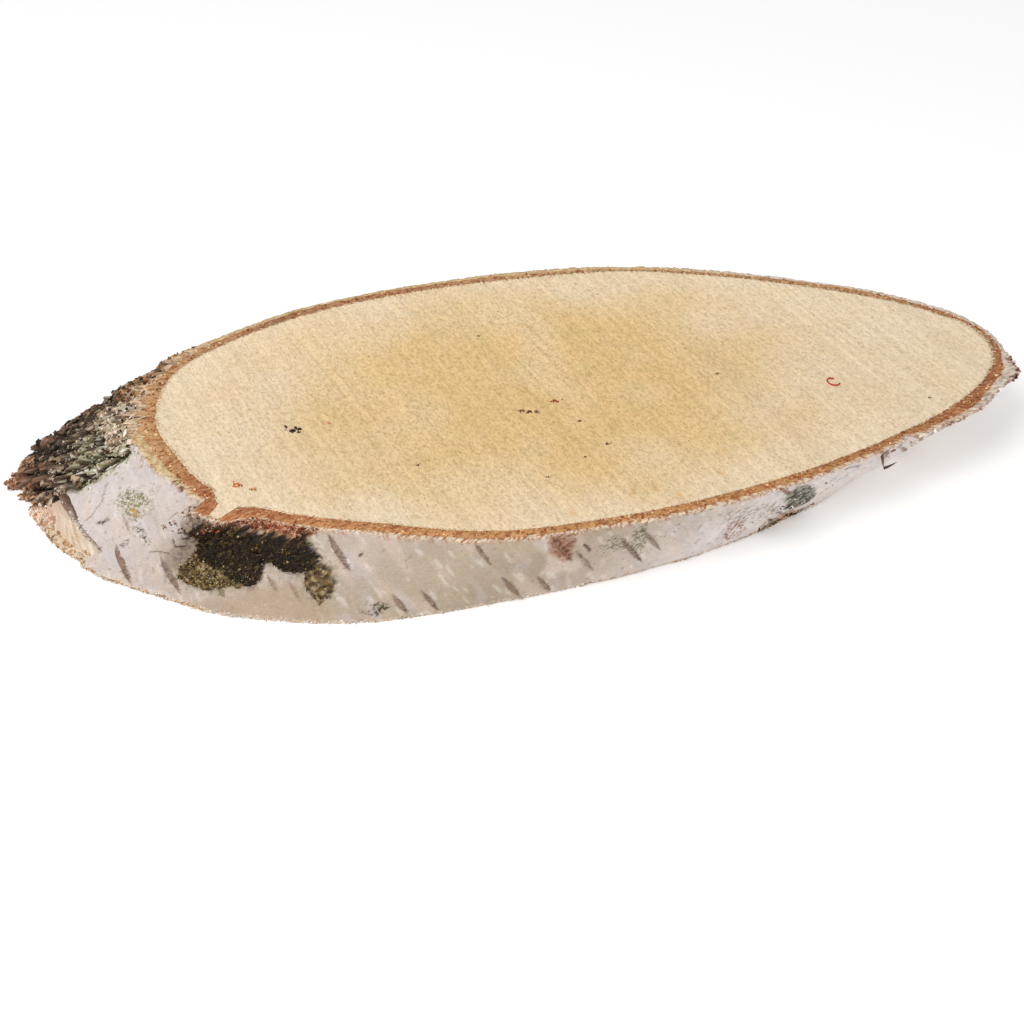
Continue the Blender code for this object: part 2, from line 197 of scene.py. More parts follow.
# Stains: colour, strength, softness of the edge, size of the grain or 0, and the outline
STAINS = (
    ((140, 80, 52), 0.95, 0.3, 0, TORN_PATCH),
    ((112, 96, 80), 0.8, 1.2, 0, (
        (-142.6, 14.4), (-140, 13.6), (-137.2, 8.6), (-134, 4.6), (-138.6, 4.8), (-141.8, 9))),
    ((58, 44, 34), 0.7, 0.6, 0.7, (
        (-143.2, 14.4), (-140, 13.6), (-137.2, 8.6), (-134, 5), (-138, 5.4), (-141.8, 9.6))),
    ((162, 146, 132), 0.45, 1.2, 0, ((-145, 13), (-141, 13), (-134, 6), (-137, 3.2), (-143, 6.4))),
    ((166, 142, 118), 0.65, 1.2, 0, ((-126, 2.6), (-120, 6.4), (-111, 2.4), (-109, -1), (-128, -1))),
    ((150, 106, 84), 0.6, 0.5, 0, (
        (-99, 14.5), (-95.8, 10.9), (-92, 8.2), (-89.6, 7.2), (-92.6, 10.4), (-95.4, 13.4), (-97, 14.5))),
    ((112, 60, 40), 0.85, 0.35, 0.5, (
        (-98.6, 14.5), (-95.4, 10.9), (-91, 7.6), (-90, 7.6), (-93.6, 11.6), (-95, 14.2))),
    ((84, 84, 58), 0.85, 0.4, 0.4, ((-89.6, 11.6), (-87.2, 11.2), (-84, 8.2), (-86.4, 8.4), (-88.6, 9.8))),
    ((92, 90, 60), 0.85, 0.35, 0.5, (
        (-88, 12.8), (-87, 13.4), (-83.6, 10.1), (-79.2, 5.6), (-81.9, 6.6), (-84.8, 10))),
    ((222, 202, 190), 0.5, 1.0, 0, ((-94, 8.9), (-88.6, 7.6), (-86.2, 4.4), (-90.6, 4.8))),
    ((146, 140, 128), 0.6, 0.7, 0.4, ((-101, 10.4), (-96.8, 9.2), (-92.4, 6.6), (-97, 7.2))),
    ((140, 132, 118), 0.75, 0.7, 0.6, (
        (-76.9, 12.5), (-72.1, 11.8), (-65.6, 10), (-63, 10.4), (-58, 5.4), (-63.1, 5.4), (-70.7, 8.4))),
    ((200, 160, 126), 0.9, 0.3, 0, ((-56.3, 3.3), (-54.7, 4), (-48.8, 1.8), (-46.4, -0.6), (-51.4, 0.7))),
    ((120, 116, 100), 0.75, 0.5, 0, DARK_SPOT),
    ((48, 42, 34), 0.95, 0.35, 1.0, DARK_SPOT),
    ((84, 76, 50), 0.9, 0.4, 0.6, (
        (-57.2, 2), (-57.9, 4.2), (-59.3, 6.6), (-61.4, 9.4), (-55.3, 5.8), (-51.4, 2.4), (-53, 1),
        (-53.3, -0.2))),
    ((118, 74, 58), 0.85, 0.3, 0.5, (
        (-66.8, 4.7), (-69.5, 7.6), (-68, 8.2), (-61.4, 3.6), (-59.6, 1.2), (-63.9, 2.4))),
    ((108, 104, 66), 0.9, 0.4, 0.45, (
        (-162.2, 9.6), (-162.8, 10.8), (-159.4, 11.4), (-155, 11.2), (-153.8, 10.2), (-154.7, 9.6),
        (-152.8, 8.7), (-153, 7.6), (-156.2, 8), (-159.1, 8.6))),
    ((208, 146, 76), 0.9, 0.25, 0.5, ((-157, 8.6), (-156.4, 9.5), (-152.6, 8.3), (-152.8, 7.6))),
    ((80, 76, 58), 0.9, 0.25, 0.4, ((-151.2, 7), (-150.8, 7.9), (-145, 6.9), (-144.8, 6))),
    ((178, 164, 154), 0.7, 0.5, 0.5, (
        (-160.8, 11.2), (-159.6, 12.6), (-156.8, 13), (-155, 12.4), (-156.8, 11.4))),
    ((176, 166, 158), 0.6, 0.4, 0, ((-153, 9.6), (-152.6, 10.2), (-148, 9.5), (-148, 8.9))),
    ((62, 50, 40), 0.95, 0.2, 0, ((-158.6, 5.5), (-158.2, 6.1), (-157.3, 6.2), (-157.4, 5.5))),
    ((80, 74, 66), 0.8, 0.25, 0.3, ((-149.6, 4.5), (-149.6, 5.6), (-148.2, 5.4), (-148.4, 4.4))),
    ((80, 68, 58), 0.9, 0.12, 0, ((-117.2, 11), (-117.1, 11.3), (-116.8, 11.3), (-116.8, 11))),
    ((60, 56, 38), 0.95, 0.3, 0.4, ((-108, 2), (-107.4, 3.8), (-105.2, 2.8), (-105.4, 1.2))),
    ((132, 118, 108), 0.7, 0.6, 0.6, ((-42, 14), (-36, 14.2), (-27, 12.6), (-30, 10.4), (-38, 11.6))),
)
# Cracks and creases: half width, strength, colour, places
STROKES = (
    (0.16, 0.5, (124, 108, 100), ((-168, 9.3), (-163.7, 7.6), (-161.7, 5.6), (-161.5, 4.5))),
    (0.14, 0.45, (120, 106, 98), ((-147.4, 10.3), (-147.6, 11.5))),
    (0.12, 0.45, (130, 116, 106), ((-143.4, 5.4), (-142.2, 6), (-140.1, 6.3))),
    (0.2, 0.95, (38, 26, 22), ((-146.9, 12.7), (-145.8, 12.2), (-144.3, 12.7))),
    (0.22, 0.95, (38, 26, 22), ((-145.8, 12.2), (-143.1, 14.1))),
    (0.16, 0.85, (64, 50, 42), ((-142.9, 9.4), (-140.8, 9.9), (-140.4, 9), (-141.4, 8.7))),
    (0.16, 0.85, (60, 46, 40), ((-141.4, 13), (-139.5, 11.6), (-139.2, 8.8))),
    (0.2, 0.5, (124, 108, 98), ((-56.6, 12.2), (-56.2, 11.4), (-55.4, 9.6))),
    (0.2, 0.5, (124, 108, 98), ((-57.5, 13.2), (-54.5, 12.6), (-52.6, 11.8))),
    (0.24, 0.85, (110, 66, 44), ((-52, 14.5), (-51.5, 14.1), (-47.5, 12), (-44.2, 9.8))),
    (0.35, 0.9, (150, 96, 70), ((-70, 14.5), (-69.3, 14), (-64.3, 11.2))),
    (0.26, 0.9, (74, 42, 30), ((-159.2, 14.5), (-157.2, 14.4), (-155, 14.2))),
    (0.44, 0.95, (66, 38, 28), ((-157, 14.3), (-154.6, 14.2), (-152.2, 13.9))),
    (0.14, 0.9, (60, 52, 40), ((-91.7, 10.9), (-90.4, 10), (-89.3, 9.1))),
    (0.42, 0.95, (84, 58, 42), ((-178, 4.8), (-172, 4.9), (-164, 4.2))),
    (0.2, 0.8, (104, 78, 58), ((-164, 4.2), (-157, 3.4), (-151, 2.8))),
    (0.14, 0.8, (70, 56, 48), ((-144.6, 11.4), (-142.8, 10.6), (-141.6, 11.6))),
    (0.14, 0.8, (70, 56, 48), ((-142.4, 8.2), (-140.6, 7.4), (-139.4, 8.0))),
)
# The line below which the outer bark has peeled off, by angle
PEEL_ANGLES = (-182.0, -172.0, -163.0, -157.0, -151.0)
PEEL_HEIGHTS = (4.4, 4.4, 3.7, 3.2, 2.6)
PEEL_MIDDLE = -165.0

# Flakes on the bark: first and last angle, lowest and highest, count, least and most size, tilt, colours,
# and how thick they are for their size, where they are thinner than most
DARK = ((48, 36, 26), (78, 60, 44), (112, 92, 70), (32, 24, 18))
PALE = ((176, 176, 146), (196, 190, 160), (214, 206, 190), (236, 230, 220))
GREEN = ((142, 142, 96), (118, 118, 74), (190, 176, 112), (176, 176, 140))
WHITE = ((228, 218, 208), (212, 196, 180), (240, 234, 228))
FLAKES = (
    (142, 186, 0.6, 14.0, 1100, 0.3, 1.3, 0.4, DARK, 0.14),
    (142, 186, 0.6, 14.0, 700, 0.3, 1.2, 0.4, ((150, 128, 102), (176, 152, 124), (128, 104, 80)), 0.14),
    (160, 190, 4.5, 14.2, 1000, 0.12, 0.5, 0.6, PALE),
    (170, 190, 6.5, 14.0, 900, 0.1, 0.35, 0.6, GREEN),
    (162, 184, 11.5, 14.3, 420, 0.3, 1.1, 0.35, ((214, 196, 172), (196, 168, 140), (230, 218, 204)), 0.12),
    (140, 165, 11.5, 14.3, 600, 0.2, 1.0, 0.7, ((176, 126, 80), (142, 96, 58), (206, 164, 112), (90, 58, 44))),
    (160, 182, 0.1, 1.6, 300, 0.25, 0.9, 0.9, ((176, 120, 76), (150, 96, 62), (110, 72, 52), (206, 160, 124))),
    (183, 192, 0.1, 1.8, 240, 0.3, 1.0, 0.5, ((222, 190, 168), (206, 164, 138), (236, 218, 202))),
    (-139, -126, 12.8, 14.3, 420, 0.15, 0.55, 0.9, ((150, 82, 54), (206, 156, 122), (92, 42, 32))),
    (-147, -139, 9.0, 14.2, 200, 0.12, 0.45, 0.8, ((40, 28, 22), (120, 78, 56), (168, 128, 100))),
    (-161, -152, 7.8, 10.8, 420, 0.1, 0.3, 0.7, GREEN),
    (-182, -152, 0.1, 1.4, 300, 0.2, 0.8, 0.6, ((224, 202, 172), (204, 168, 128), (176, 130, 84))),
    (-137, -126, 3.0, 7.0, 420, 0.1, 0.32, 0.8, GREEN),
    (-90, -78, 5.0, 12.0, 160, 0.08, 0.2, 0.4, ((96, 90, 60), (120, 112, 76))),
    (-63, -52, 4.6, 11.6, 130, 0.15, 0.5, 0.6, ((50, 42, 34), (84, 74, 62), (226, 222, 212))),
    (-57, -46, 0.1, 2.4, 160, 0.15, 0.6, 0.9, ((60, 50, 34), (120, 84, 58), (176, 136, 100), (40, 32, 26))),
    (-40, -24, 12.4, 14.2, 260, 0.12, 0.4, 0.7, ((120, 98, 80), (176, 152, 132), (206, 190, 178))),
    (-19, -9, 10.4, 14.2, 200, 0.25, 0.9, 0.9, ((132, 74, 60), (190, 140, 124), (84, 44, 36))),
    (-20, -8, 12.6, 14.3, 120, 0.4, 1.2, 0.5, ((122, 76, 62), (172, 132, 116), (90, 56, 46), (206, 186, 172))),
    (-48, -18, 11.6, 14.4, 220, 0.25, 1.0, 0.6, WHITE + ((150, 110, 92),)),
    (-150, 136, 0.05, 0.7, 1000, 0.12, 0.4, 0.9, WHITE + ((216, 166, 112),)),
)

# Colours of the fibres: on the torn and even stretches of the lower rim, on the upper rim, at the wood's edge,
# and of the strokes that the saw's teeth dragged over it
TORN_FIBRES = ((206, 166, 116), (186, 136, 84), (226, 196, 152), (150, 100, 58))
EVEN_FIBRES = ((228, 214, 196), (216, 190, 158), (236, 226, 214), (198, 164, 126))
RIM_FIBRES = ((236, 222, 202), (214, 176, 134), (240, 232, 220), (186, 130, 84), (160, 104, 66))
WOOD_FIBRES = ((236, 218, 186), (228, 204, 164), (240, 226, 202))
SAW_FIBRES = ((176, 122, 78), (190, 142, 98), (158, 104, 62))


def ease(low, high, value):
    """0 at low, 1 at high, smooth between them and level beyond."""
    share = np.clip((value - low) / (high - low), 0.0, 1.0)
    return share * share * (3 - 2 * share)


def turn(angle, middle=0.0):
    """The angle from the middle, from -180 to 180 degrees."""
    return (angle - middle + 180) % 360 - 180


def near(angle, middle):
    """The same angle, within 180 degrees of the middle."""
    return turn(angle, middle) + middle


def unit(vectors):
    return vectors / np.linalg.norm(vectors, axis=1)[:, None]


def ring_at(radii, angle):
    """The radius at an angle, on the closed smooth curve through radii at even steps from -180 degrees."""
    radii = np.array(radii)
    place = (angle + 180) / 360 * len(radii)
    first = np.floor(place).astype(int)
    part = place - first
    a, b, c, d = (radii[(first + step) % len(radii)] for step in (-1, 0, 1, 2))
    bend = 2 * a - 5 * b + 4 * c - d + part * (3 * (b - c) + d - a)
    return b + 0.5 * part * (c - a + part * bend)


def on_log(angle, radius, height):
    """Points at these angles round the log's axis, this far from it, at these heights."""
    across = np.radians(angle)
    height = height + 0 * across
    x = radius * np.cos(across) / math.cos(LEAN) + height * math.tan(LEAN)
    return np.stack((x, radius * np.sin(across), height), axis=-1) + LOG_START


def noise_at(points):
    return np.array([noise.noise(point) for point in points.reshape(-1, 3).tolist()])


class Wall:
    """Places on the smooth bark."""

    def __init__(self, angle, height):
        self.angle = np.asarray(angle, float)
        self.height = np.asarray(height, float) + 0 * self.angle
        up = self.height / THICKNESS
        self.radius = up * ring_at(TOP_BARK, self.angle) + (1 - up) * ring_at(UNDERSIDE_BARK, self.angle)
        across = np.radians(self.angle)
        self.along = (self.height + self.radius * np.cos(across) * math.sin(LEAN)) / math.cos(LEAN)
        self.round = np.stack((np.cos(across), np.sin(across)), axis=-1) * LOG_RADIUS
        self.spread = np.radians(self.angle % 360) * LOG_RADIUS

    def move_to(self, radius):
        """Moves the places, as the noise sees them, to this distance from the log's axis."""
        self.round = self.round * (radius / LOG_RADIUS)[:, None]

    def wobble(self, size, layer=0.0, long=None):
        """Smooth noise about -1 to 1: blobs of this size round the log, and this long along it."""
        along = (self.along + 100 * layer) / (long or size)
        return noise_at(np.column_stack((self.round / size, along)))

    def patch(self, low, high, size, layer, long=None):
        """0 to 1: patches of the same noise, where it rises from low to high."""
        return ease(low, high, self.wobble(size, layer, long))

    def cells(self, size, long, layer):
        """The noise of the furrows, which is flat across the developed bark."""
        return noise_at(np.column_stack((self.spread / size, self.along / long, 0 * self.along + layer)))


def spot(wall, place):
    """1 at the middle of a round spot on the bark, falling smoothly to 0 at its edge."""
    angle, height, half_angle, half_height = place
    return ease(0, 1, 1 - np.hypot(turn(wall.angle, angle) / half_angle, (wall.height - height) / half_height))


def flat(wall, middle):
    """Places on the bark laid flat, in mm round the log from a middle angle and along the log."""
    return np.column_stack((LOG_RADIUS * np.radians(turn(wall.angle, middle)), wall.along))


def laid(wall, places):
    """A line or outline laid flat, the wall laid flat about the same angle, and which of the wall is close."""
    angles, heights = map(np.array, zip(*places))
    middle = angles.mean()
    close = np.abs(turn(wall.angle, middle)) < 20
    return flat(Wall(angles, heights), middle), flat(wall, middle), close


def gap_to(points, corners):
    """The distance from points to a line through corners."""
    gap = np.full(len(points), 99.0)
    for start, end in zip(corners[:-1], corners[1:]):
        run = end - start
        share = np.clip((points - start) @ run / (run @ run), 0, 1)
        gap = np.minimum(gap, np.linalg.norm(points - start - share[:, None] * run, axis=1))
    return gap


def depth_in(wall, outline):
    """How far inside an outline each place lies, in mm, and negative outside it."""
    corners, points, close = laid(wall, outline)
    corners = np.vstack((corners, corners[:1]))
    points = points[close]
    odd = np.zeros(len(points), bool)
    for start, end in zip(corners[:-1], corners[1:]):
        crosses = (start[1] > points[:, 1]) != (end[1] > points[:, 1])
        at = start[0] + (points[:, 1] - start[1]) * (end[0] - start[0]) / (end[1] - start[1] or 1e-9)
        odd ^= crosses & (points[:, 0] < at)
    gap = gap_to(points, corners)
    depth = np.full(len(wall.angle), -99.0)
    depth[close] = np.where(odd, gap, -gap)
    return depth


def stroke(wall, places, half_width):
    """1 on a line through places on the bark, falling to 0 at its half width."""
    corners, points, close = laid(wall, places)
    return (1 - ease(0.4 * half_width, 1.4 * half_width, gap_to(points, corners))) * close


def moss_cover(wall):
    """The depth of moss at each place, how olive it is, and how far inside the moss the place lies."""
    depth = np.zeros(len(wall.angle))
    olive = np.zeros(len(wall.angle))
    inmost = np.full(len(wall.angle), -99.0)
    ragged = 0.7 * wall.wobble(1.8, 2) + 0.6 * wall.wobble(0.6, 3)
    for full, green, outline in MOSS:
        inside = depth_in(wall, outline)
        cover = ease(-0.25, 0.75, inside + ragged)
        olive = np.where(cover * full > depth, green, olive)
        depth = np.maximum(depth, full * cover)
        inmost = np.maximum(inmost, inside)
    return depth, olive, inmost


def comb(wall, layer=0.0, size=0.42):
    """Noise of narrow teeth along a rim, which follow the bark's fibres round the log."""
    place = (wall.along + 0.35 * wall.spread) / size
    return noise_at(np.column_stack((place, wall.height / 3, 0 * wall.height + layer)))


def hidden_lenticels():
    """Lenticels on the far side and the overhanging end, drawn with a fixed seed."""
    draw = random.Random(HIDDEN_SEED)
    found = []
    for _ in range(HIDDEN_LENTICELS):
        start = draw.uniform(HIDDEN_FIRST, HIDDEN_LAST)
        found.append((start, start + draw.uniform(5.0, 11.0), draw.uniform(1.5, 13.0), 0.65, 0.75))
    return tuple(found)


ALL_LENTICELS = LENTICELS + hidden_lenticels()


def lenticel_marks(wall):
    """How much of a lenticel each place is, and of its darker edge and ends."""
    mark = np.zeros(len(wall.angle))
    rim = np.zeros(len(wall.angle))
    ragged = wall.wobble(0.8, 9)
    for start, end, up, half_width, dark in ALL_LENTICELS:
        middle = (start + end) / 2
        aside = np.abs(turn(wall.angle, middle)) / ((end - start) / 2)
        taper = np.maximum(1 - aside * aside, 0.0) * half_width * LENTICEL_SLIM + 0.02
        off = np.abs(wall.along - Wall([middle], up).along[0])
        inside = (taper - off) + 0.08 * ragged - 0.3 * (aside > 1)
        cover = ease(-0.1, 0.14, inside)
        mark = np.maximum(mark, dark * cover)
        rim = np.maximum(rim, dark * cover * (1 - ease(0.05, 0.3, inside)))
    return mark, rim


def rough_share(wall):
    """1 on the rough furrowed bark and 0 on the smooth white bark."""
    edge = np.interp(wall.height, ROUGH_EDGE_HEIGHTS, ROUGH_EDGE_ANGLES)
    ragged = 2.2 * wall.wobble(4.0, 1) + 1.2 * wall.wobble(1.3, 12)
    place = near(wall.angle, ROUGH_MIDDLE)
    share = 1 - ease(edge - 1.6, edge + 0.6, place + ragged)
    return share * ease(ROUGH_FAR_END - 2, ROUGH_FAR_END + 2, place + 2 * ragged)


def furrow_level(wall):
    """Flat plates parted by furrows along the log and by short cracks across them: 1 on a plate."""
    furrow = np.abs(wall.cells(FURROW_SPACING, FURROW_LENGTH, 3))
    crack = np.abs(wall.cells(CRACK_SPACING, CRACK_LENGTH, 8))
    return np.minimum(1.0, np.minimum(FURROW_STEEP * furrow, CRACK_STEEP * crack))


def blend(tint, *coats):
    """A tint under coats of colour, each with the share of it that shows."""
    tint = np.array(tint, float)
    for colour, share in coats:
        share = np.clip(share, 0, 1)[..., None]
        tint = tint * (1 - share) + np.array(colour, float) * share
    return tint


def tone_at(angle, angles, tones):
    return np.stack([np.interp(turn(angle), angles, [tone[i] for tone in tones]) for i in range(3)], axis=1)


def smooth_tint(wall):
    """The white bark's tone, painted lighter where the wall overhangs near the right end, with soft mottling
    and fine streaks that run round the log.
    """
    tint = tone_at(wall.angle, TONE_ANGLES, TONES)
    tint *= (1 + 0.04 * wall.wobble(8, 20) + 0.03 * wall.wobble(2.5, 21))[:, None]
    tint *= (1 + 0.03 * wall.wobble(5, 22, 0.5) + 0.03 * wall.wobble(0.6, 23))[:, None]
    return blend(
        tint,
        ((212, 188, 172), 0.35 * wall.patch(0.1, 0.5, 9, 24, 3.0)),
        ((188, 182, 192), 0.3 * wall.patch(0.15, 0.5, 6, 25, 3.0)),
        ((228, 221, 214), 0.35 * wall.patch(0.25, 0.5, 3, 26, 1.0)),
        ((150, 134, 116), 0.55 * wall.patch(0.46, 0.62, 0.9, 27)),
    )


def rough_tint(wall, level, fine):
    """Black-brown furrows, plates from brown to pale tan, and pale lichen flecks on them."""
    place = near(wall.angle, ROUGH_MIDDLE)
    pale = ease(163, 178, place) * ease(3, 8, wall.height)
    tip = ease(9, 3, wall.height) * ease(186, 174, place)
    kind = wall.cells(3.0, 5.0, 30) + 0.5 * wall.wobble(1.2, 31)
    fleck = wall.patch(0.3 - 0.35 * pale, 0.45 - 0.28 * pale, 0.9, 32)
    streak = wall.cells(0.9, 3.5, 33) + 0.4 * wall.wobble(0.7, 33)
    crown = ease(11.4, 13.2, wall.height + 1.8 * wall.wobble(1.5, 36))
    plate = blend(
        (118, 96, 74),
        ((186, 168, 146), ease(0.0, 0.4, kind)),
        ((70, 52, 40), 0.9 * ease(0.05, 0.4, -kind)),
        ((112, 66, 44), 0.6 * tip),
    )
    tint = blend(
        (40, 29, 20),
        (plate, ease(0.15, 0.75, level * (0.35 + 0.65 * fine))),
        ((98, 98, 62), 0.7 * pale * wall.patch(-0.2, 0.3, 2.0, 35)),
        ((180, 178, 148), 0.85 * fleck * ease(0.2, 0.6, level) * (1 - 0.7 * tip)),
        ((226, 220, 206), 0.9 * ease(0.26, 0.42, streak) * (0.4 + 0.6 * pale) * (1 - 0.6 * tip)),
        ((212, 190, 164), 0.8 * crown * wall.patch(-0.35, 0.15, 1.5, 37) * (0.4 + 0.6 * fine)),
    )
    return tint * (1 + 0.2 * wall.wobble(0.5, 34))[:, None]


def dress(wall):
    """The bark's outer radius and its colour at each place."""
    rough = rough_share(wall)
    level = furrow_level(wall)
    fine = np.minimum(1.0, 3.5 * np.abs(wall.cells(1.5, 7.0, 38)))
    radius = wall.radius + SWELL * wall.wobble(SWELL_SIZE)
    relief = FURROW_DEPTH * (level - PLATE_LEVEL) + 0.4 * wall.wobble(1.0, 40) * level
    radius += rough * (relief - 0.5 * (1 - fine))
    radius += (1 - rough) * (0.05 * wall.wobble(1.8, 41, 0.8) + 0.02 * wall.wobble(0.5, 42))

    mark, rim = lenticel_marks(wall)
    radius += LENTICEL_RISE * (mark - 1.4 * rim) * (1 - rough)
    tint = blend(
        smooth_tint(wall),
        ((140, 113, 96), 0.95 * mark),
        ((100, 76, 60), 0.7 * rim),
        ((76, 60, 48), 0.6 * mark * wall.patch(0.25, 0.5, 0.7, 43)),
    )

    fray = 0.5 * wall.wobble(0.5, 51)
    for colour, strength, soft, grain, outline in STAINS:
        ragged = wall.wobble(1.2, 50 + outline[0][1]) + fray
        share = strength * ease(-soft, soft, depth_in(wall, outline) + (0.5 + 0.5 * soft) * ragged)
        if grain:
            share = share * wall.patch(-0.1, 0.3, grain, 52 + outline[0][0])
        tint = blend(tint, (colour, share))
    for half_width, strength, colour, places in STROKES:
        line = stroke(wall, places, half_width)
        tint = blend(tint, (colour, strength * line))
        radius -= 0.3 * line

    # The knot, and the torn bark beside it
    radius += KNOT_SWELL * ease(0, 0.62, spot(wall, KNOT))
    torn = ease(-0.4, 0.3, depth_in(wall, TORN_PATCH) + 0.4 * wall.wobble(0.9, 60))
    radius -= 0.5 * torn + 0.3 * torn * wall.wobble(0.6, 61)

    # The patch where the outer bark has peeled off
    place = near(wall.angle, PEEL_MIDDLE)
    fall = np.interp(place, PEEL_ANGLES, PEEL_HEIGHTS) - wall.height + 0.2 * wall.wobble(3.0, 62)
    fall += 0.12 * wall.wobble(0.6, 58)
    window = ease(PEEL_ANGLES[0] - 3, PEEL_ANGLES[0], place)
    window *= ease(PEEL_ANGLES[-1] + 1.0, PEEL_ANGLES[-1] - 1.5, place)
    peel = ease(-0.1, 0.2, fall) * window
    radius -= PEEL_DEPTH * peel
    fibres = wall.wobble(6, 63, 0.45)
    peach = blend(
        (212, 192, 168),
        ((190, 156, 122), ease(0.05, 0.5, fibres)),
        ((230, 218, 200), 0.8 * ease(0.0, 0.4, -fibres)),
        ((206, 168, 146), 0.7 * ease(-168, -173, place)),
    )

    # The rough bark, and the lichen just beyond its edge
    halo = ease(0.0, 0.6, rough_share(Wall(wall.angle + 3.0, wall.height))) * (1 - rough)
    tint = blend(
        tint,
        ((216, 166, 134), 0.85 * torn * wall.patch(0.12, 0.3, 0.7, 61)),
        ((88, 40, 34), 0.8 * torn * wall.patch(0.12, 0.35, 0.8, 59)),
        (peach, 0.95 * peel),
        ((116, 88, 66), 0.6 * ease(0.05, 0.5, peel) * ease(0.5, 0.2, fall) * window),
        (rough_tint(wall, level, fine), rough),
        ((110, 106, 78), 0.75 * halo * wall.patch(-0.02, 0.25, 0.7, 57)),
        ((150, 144, 122), 0.35 * halo),
    )

    # The moss: a dark pad and a paler olive one, and the stained bark round them
    depth, olive, inmost = moss_cover(wall)
    radius += depth * (1 + 0.5 * wall.wobble(1.2, 64) + 0.4 * wall.wobble(0.5, 56))
    green = ease(0.02, 0.2, depth)
    dark = blend(
        (30, 20, 9),
        ((92, 72, 36), wall.patch(0.05, 0.5, 0.9, 65)),
        ((48, 26, 20), 0.7 * wall.patch(0.1, 0.4, 1.8, 55)),
    )
    pale = blend(
        (108, 80, 40),
        ((196, 172, 122), wall.patch(0.05, 0.4, 0.7, 66)),
        ((48, 38, 22), 0.9 * wall.patch(0.0, 0.35, 0.8, 54)),
    )
    beside = ease(-2.2, 0, inmost + 0.8 * wall.wobble(1.4, 49)) * (1 - green)

    # The split and the reddish lump at the right end
    radius -= SPLIT_DEPTH * spot(wall, SPLIT)
    lump = spot(wall, TIP_LUMP)
    radius += TIP_LUMP_RISE * lump + 0.4 * lump * wall.wobble(0.8, 67)

    # Teeth of torn bark at the lower rim, and of inner bark that shows through at the upper rim
    teeth = comb(wall)
    hem = 1 - ease(0.1, 0.8, wall.height + 0.7 * teeth)
    left = np.clip(ease(-146, -156, place) + ease(-180, -170, turn(wall.angle)), 0, 1)
    notches = comb(wall, 1.0, 0.32)
    brow = ease(THICKNESS - 0.9, THICKNESS - 0.2, wall.height + 0.5 * notches)
    tint = blend(
        tint,
        (blend(dark, (pale, olive)), green * (1 - 0.35 * olive * wall.patch(0, 0.3, 0.6, 53))),
        ((128, 120, 88), 0.5 * beside * wall.patch(-0.1, 0.3, 0.6, 48)),
        ((128, 62, 54), 0.95 * ease(0.2, 0.5, lump + 0.15 * wall.wobble(1.0, 68))),
        ((206, 150, 138), 0.7 * ease(0.3, 0.6, lump) * wall.patch(0.1, 0.4, 0.7, 69)),
        ((214, 196, 176), (0.3 + 0.4 * left) * hem),
        ((142, 98, 66), (0.3 + 0.3 * left) * hem * ease(0.05, 0.35, teeth)),
        ((158, 104, 68), 0.7 * brow * ease(0.05, 0.3, notches)),
        ((232, 218, 202), 0.6 * brow * ease(0.05, -0.2, notches)),
    )
    return radius, tint


def foot_radius(angle, outer, top):
    """The wood's edge on a cut face, which swells towards the knot at the top."""
    aside = turn(angle, FOOT_ANGLE)
    foot = ease(1, 0, np.abs(aside) / np.where(aside < 0, *FOOT_REACH))
    return np.minimum(ring_at(WOOD, angle) + top * FOOT_RISE * foot, outer - LEAST_RING)


def rim_radius(angle, outer, top):
    """Where the inner bark gives way to the outer bark on a cut face."""
    wood = foot_radius(angle, outer, top)
    return wood + np.interp(turn(angle), RIM_ANGLES, RIM_SHARES) * (outer - wood)


def layers(angle, height):
    """Angles and radii of the wood's edge, and of the inner bark's outer side, on a cut face."""
    top = float(height > 0)
    aside = np.abs(turn(angle, LOBE_ANGLE))
    lean = angle + top * LOBE_LEAN * LOBE_RISE * ease(1, 0, aside / LEAN_REACH)
    outer, _ = dress(Wall(lean, height))
    lobe = top * LOBE_RISE * (1 - ease(0.7, 1.3, aside / LOBE_HALF))
    return angle + LOBE_LEAN * lobe, foot_radius(angle, outer, top) + lobe, lean, rim_radius(lean, outer, top)


def hidden(angles, wood):
    """Points inside the slice where its layers meet, well within the bark: upper ones first."""
    found = []
    for height in (THICKNESS - JOIN_INSET, JOIN_INSET):
        bark = Wall(angles, height).radius
        radius = np.minimum(ring_at(WOOD, angles) - 0.4, bark - 2.7) if wood else bark - 2.2
        found.append(on_log(angles, radius, height))
    return found


def even_angles(start, end, count):
    """Angles from start to end, evenly spaced along the upper rim."""
    fine = np.linspace(start, end, 4000)
    points = on_log(fine, ring_at(TOP_BARK, fine), THICKNESS)
    way = np.concatenate(([0], np.cumsum(np.linalg.norm(np.diff(points, axis=0), axis=1))))
    return np.interp(np.linspace(0, way[-1], count), way, fine)


def face_angles(columns):
    """Angles all the way round a cut face, closer together at the knot."""
    return np.union1d(even_angles(-180, 180, columns + 1)[:-1], np.linspace(-147, -137, 160))


def linear(tint):
    """sRGB from 0 to 255 to linear light from 0 to 1."""
    value = np.clip(tint, 0, 255) / 255
    return np.where(value < 0.04045, value / 12.92, ((value + 0.055) / 1.055) ** 2.4)


def add_object(name, data):
    made = bpy.data.objects.new(name, data)
    bpy.context.scene.collection.objects.link(made)
    return made


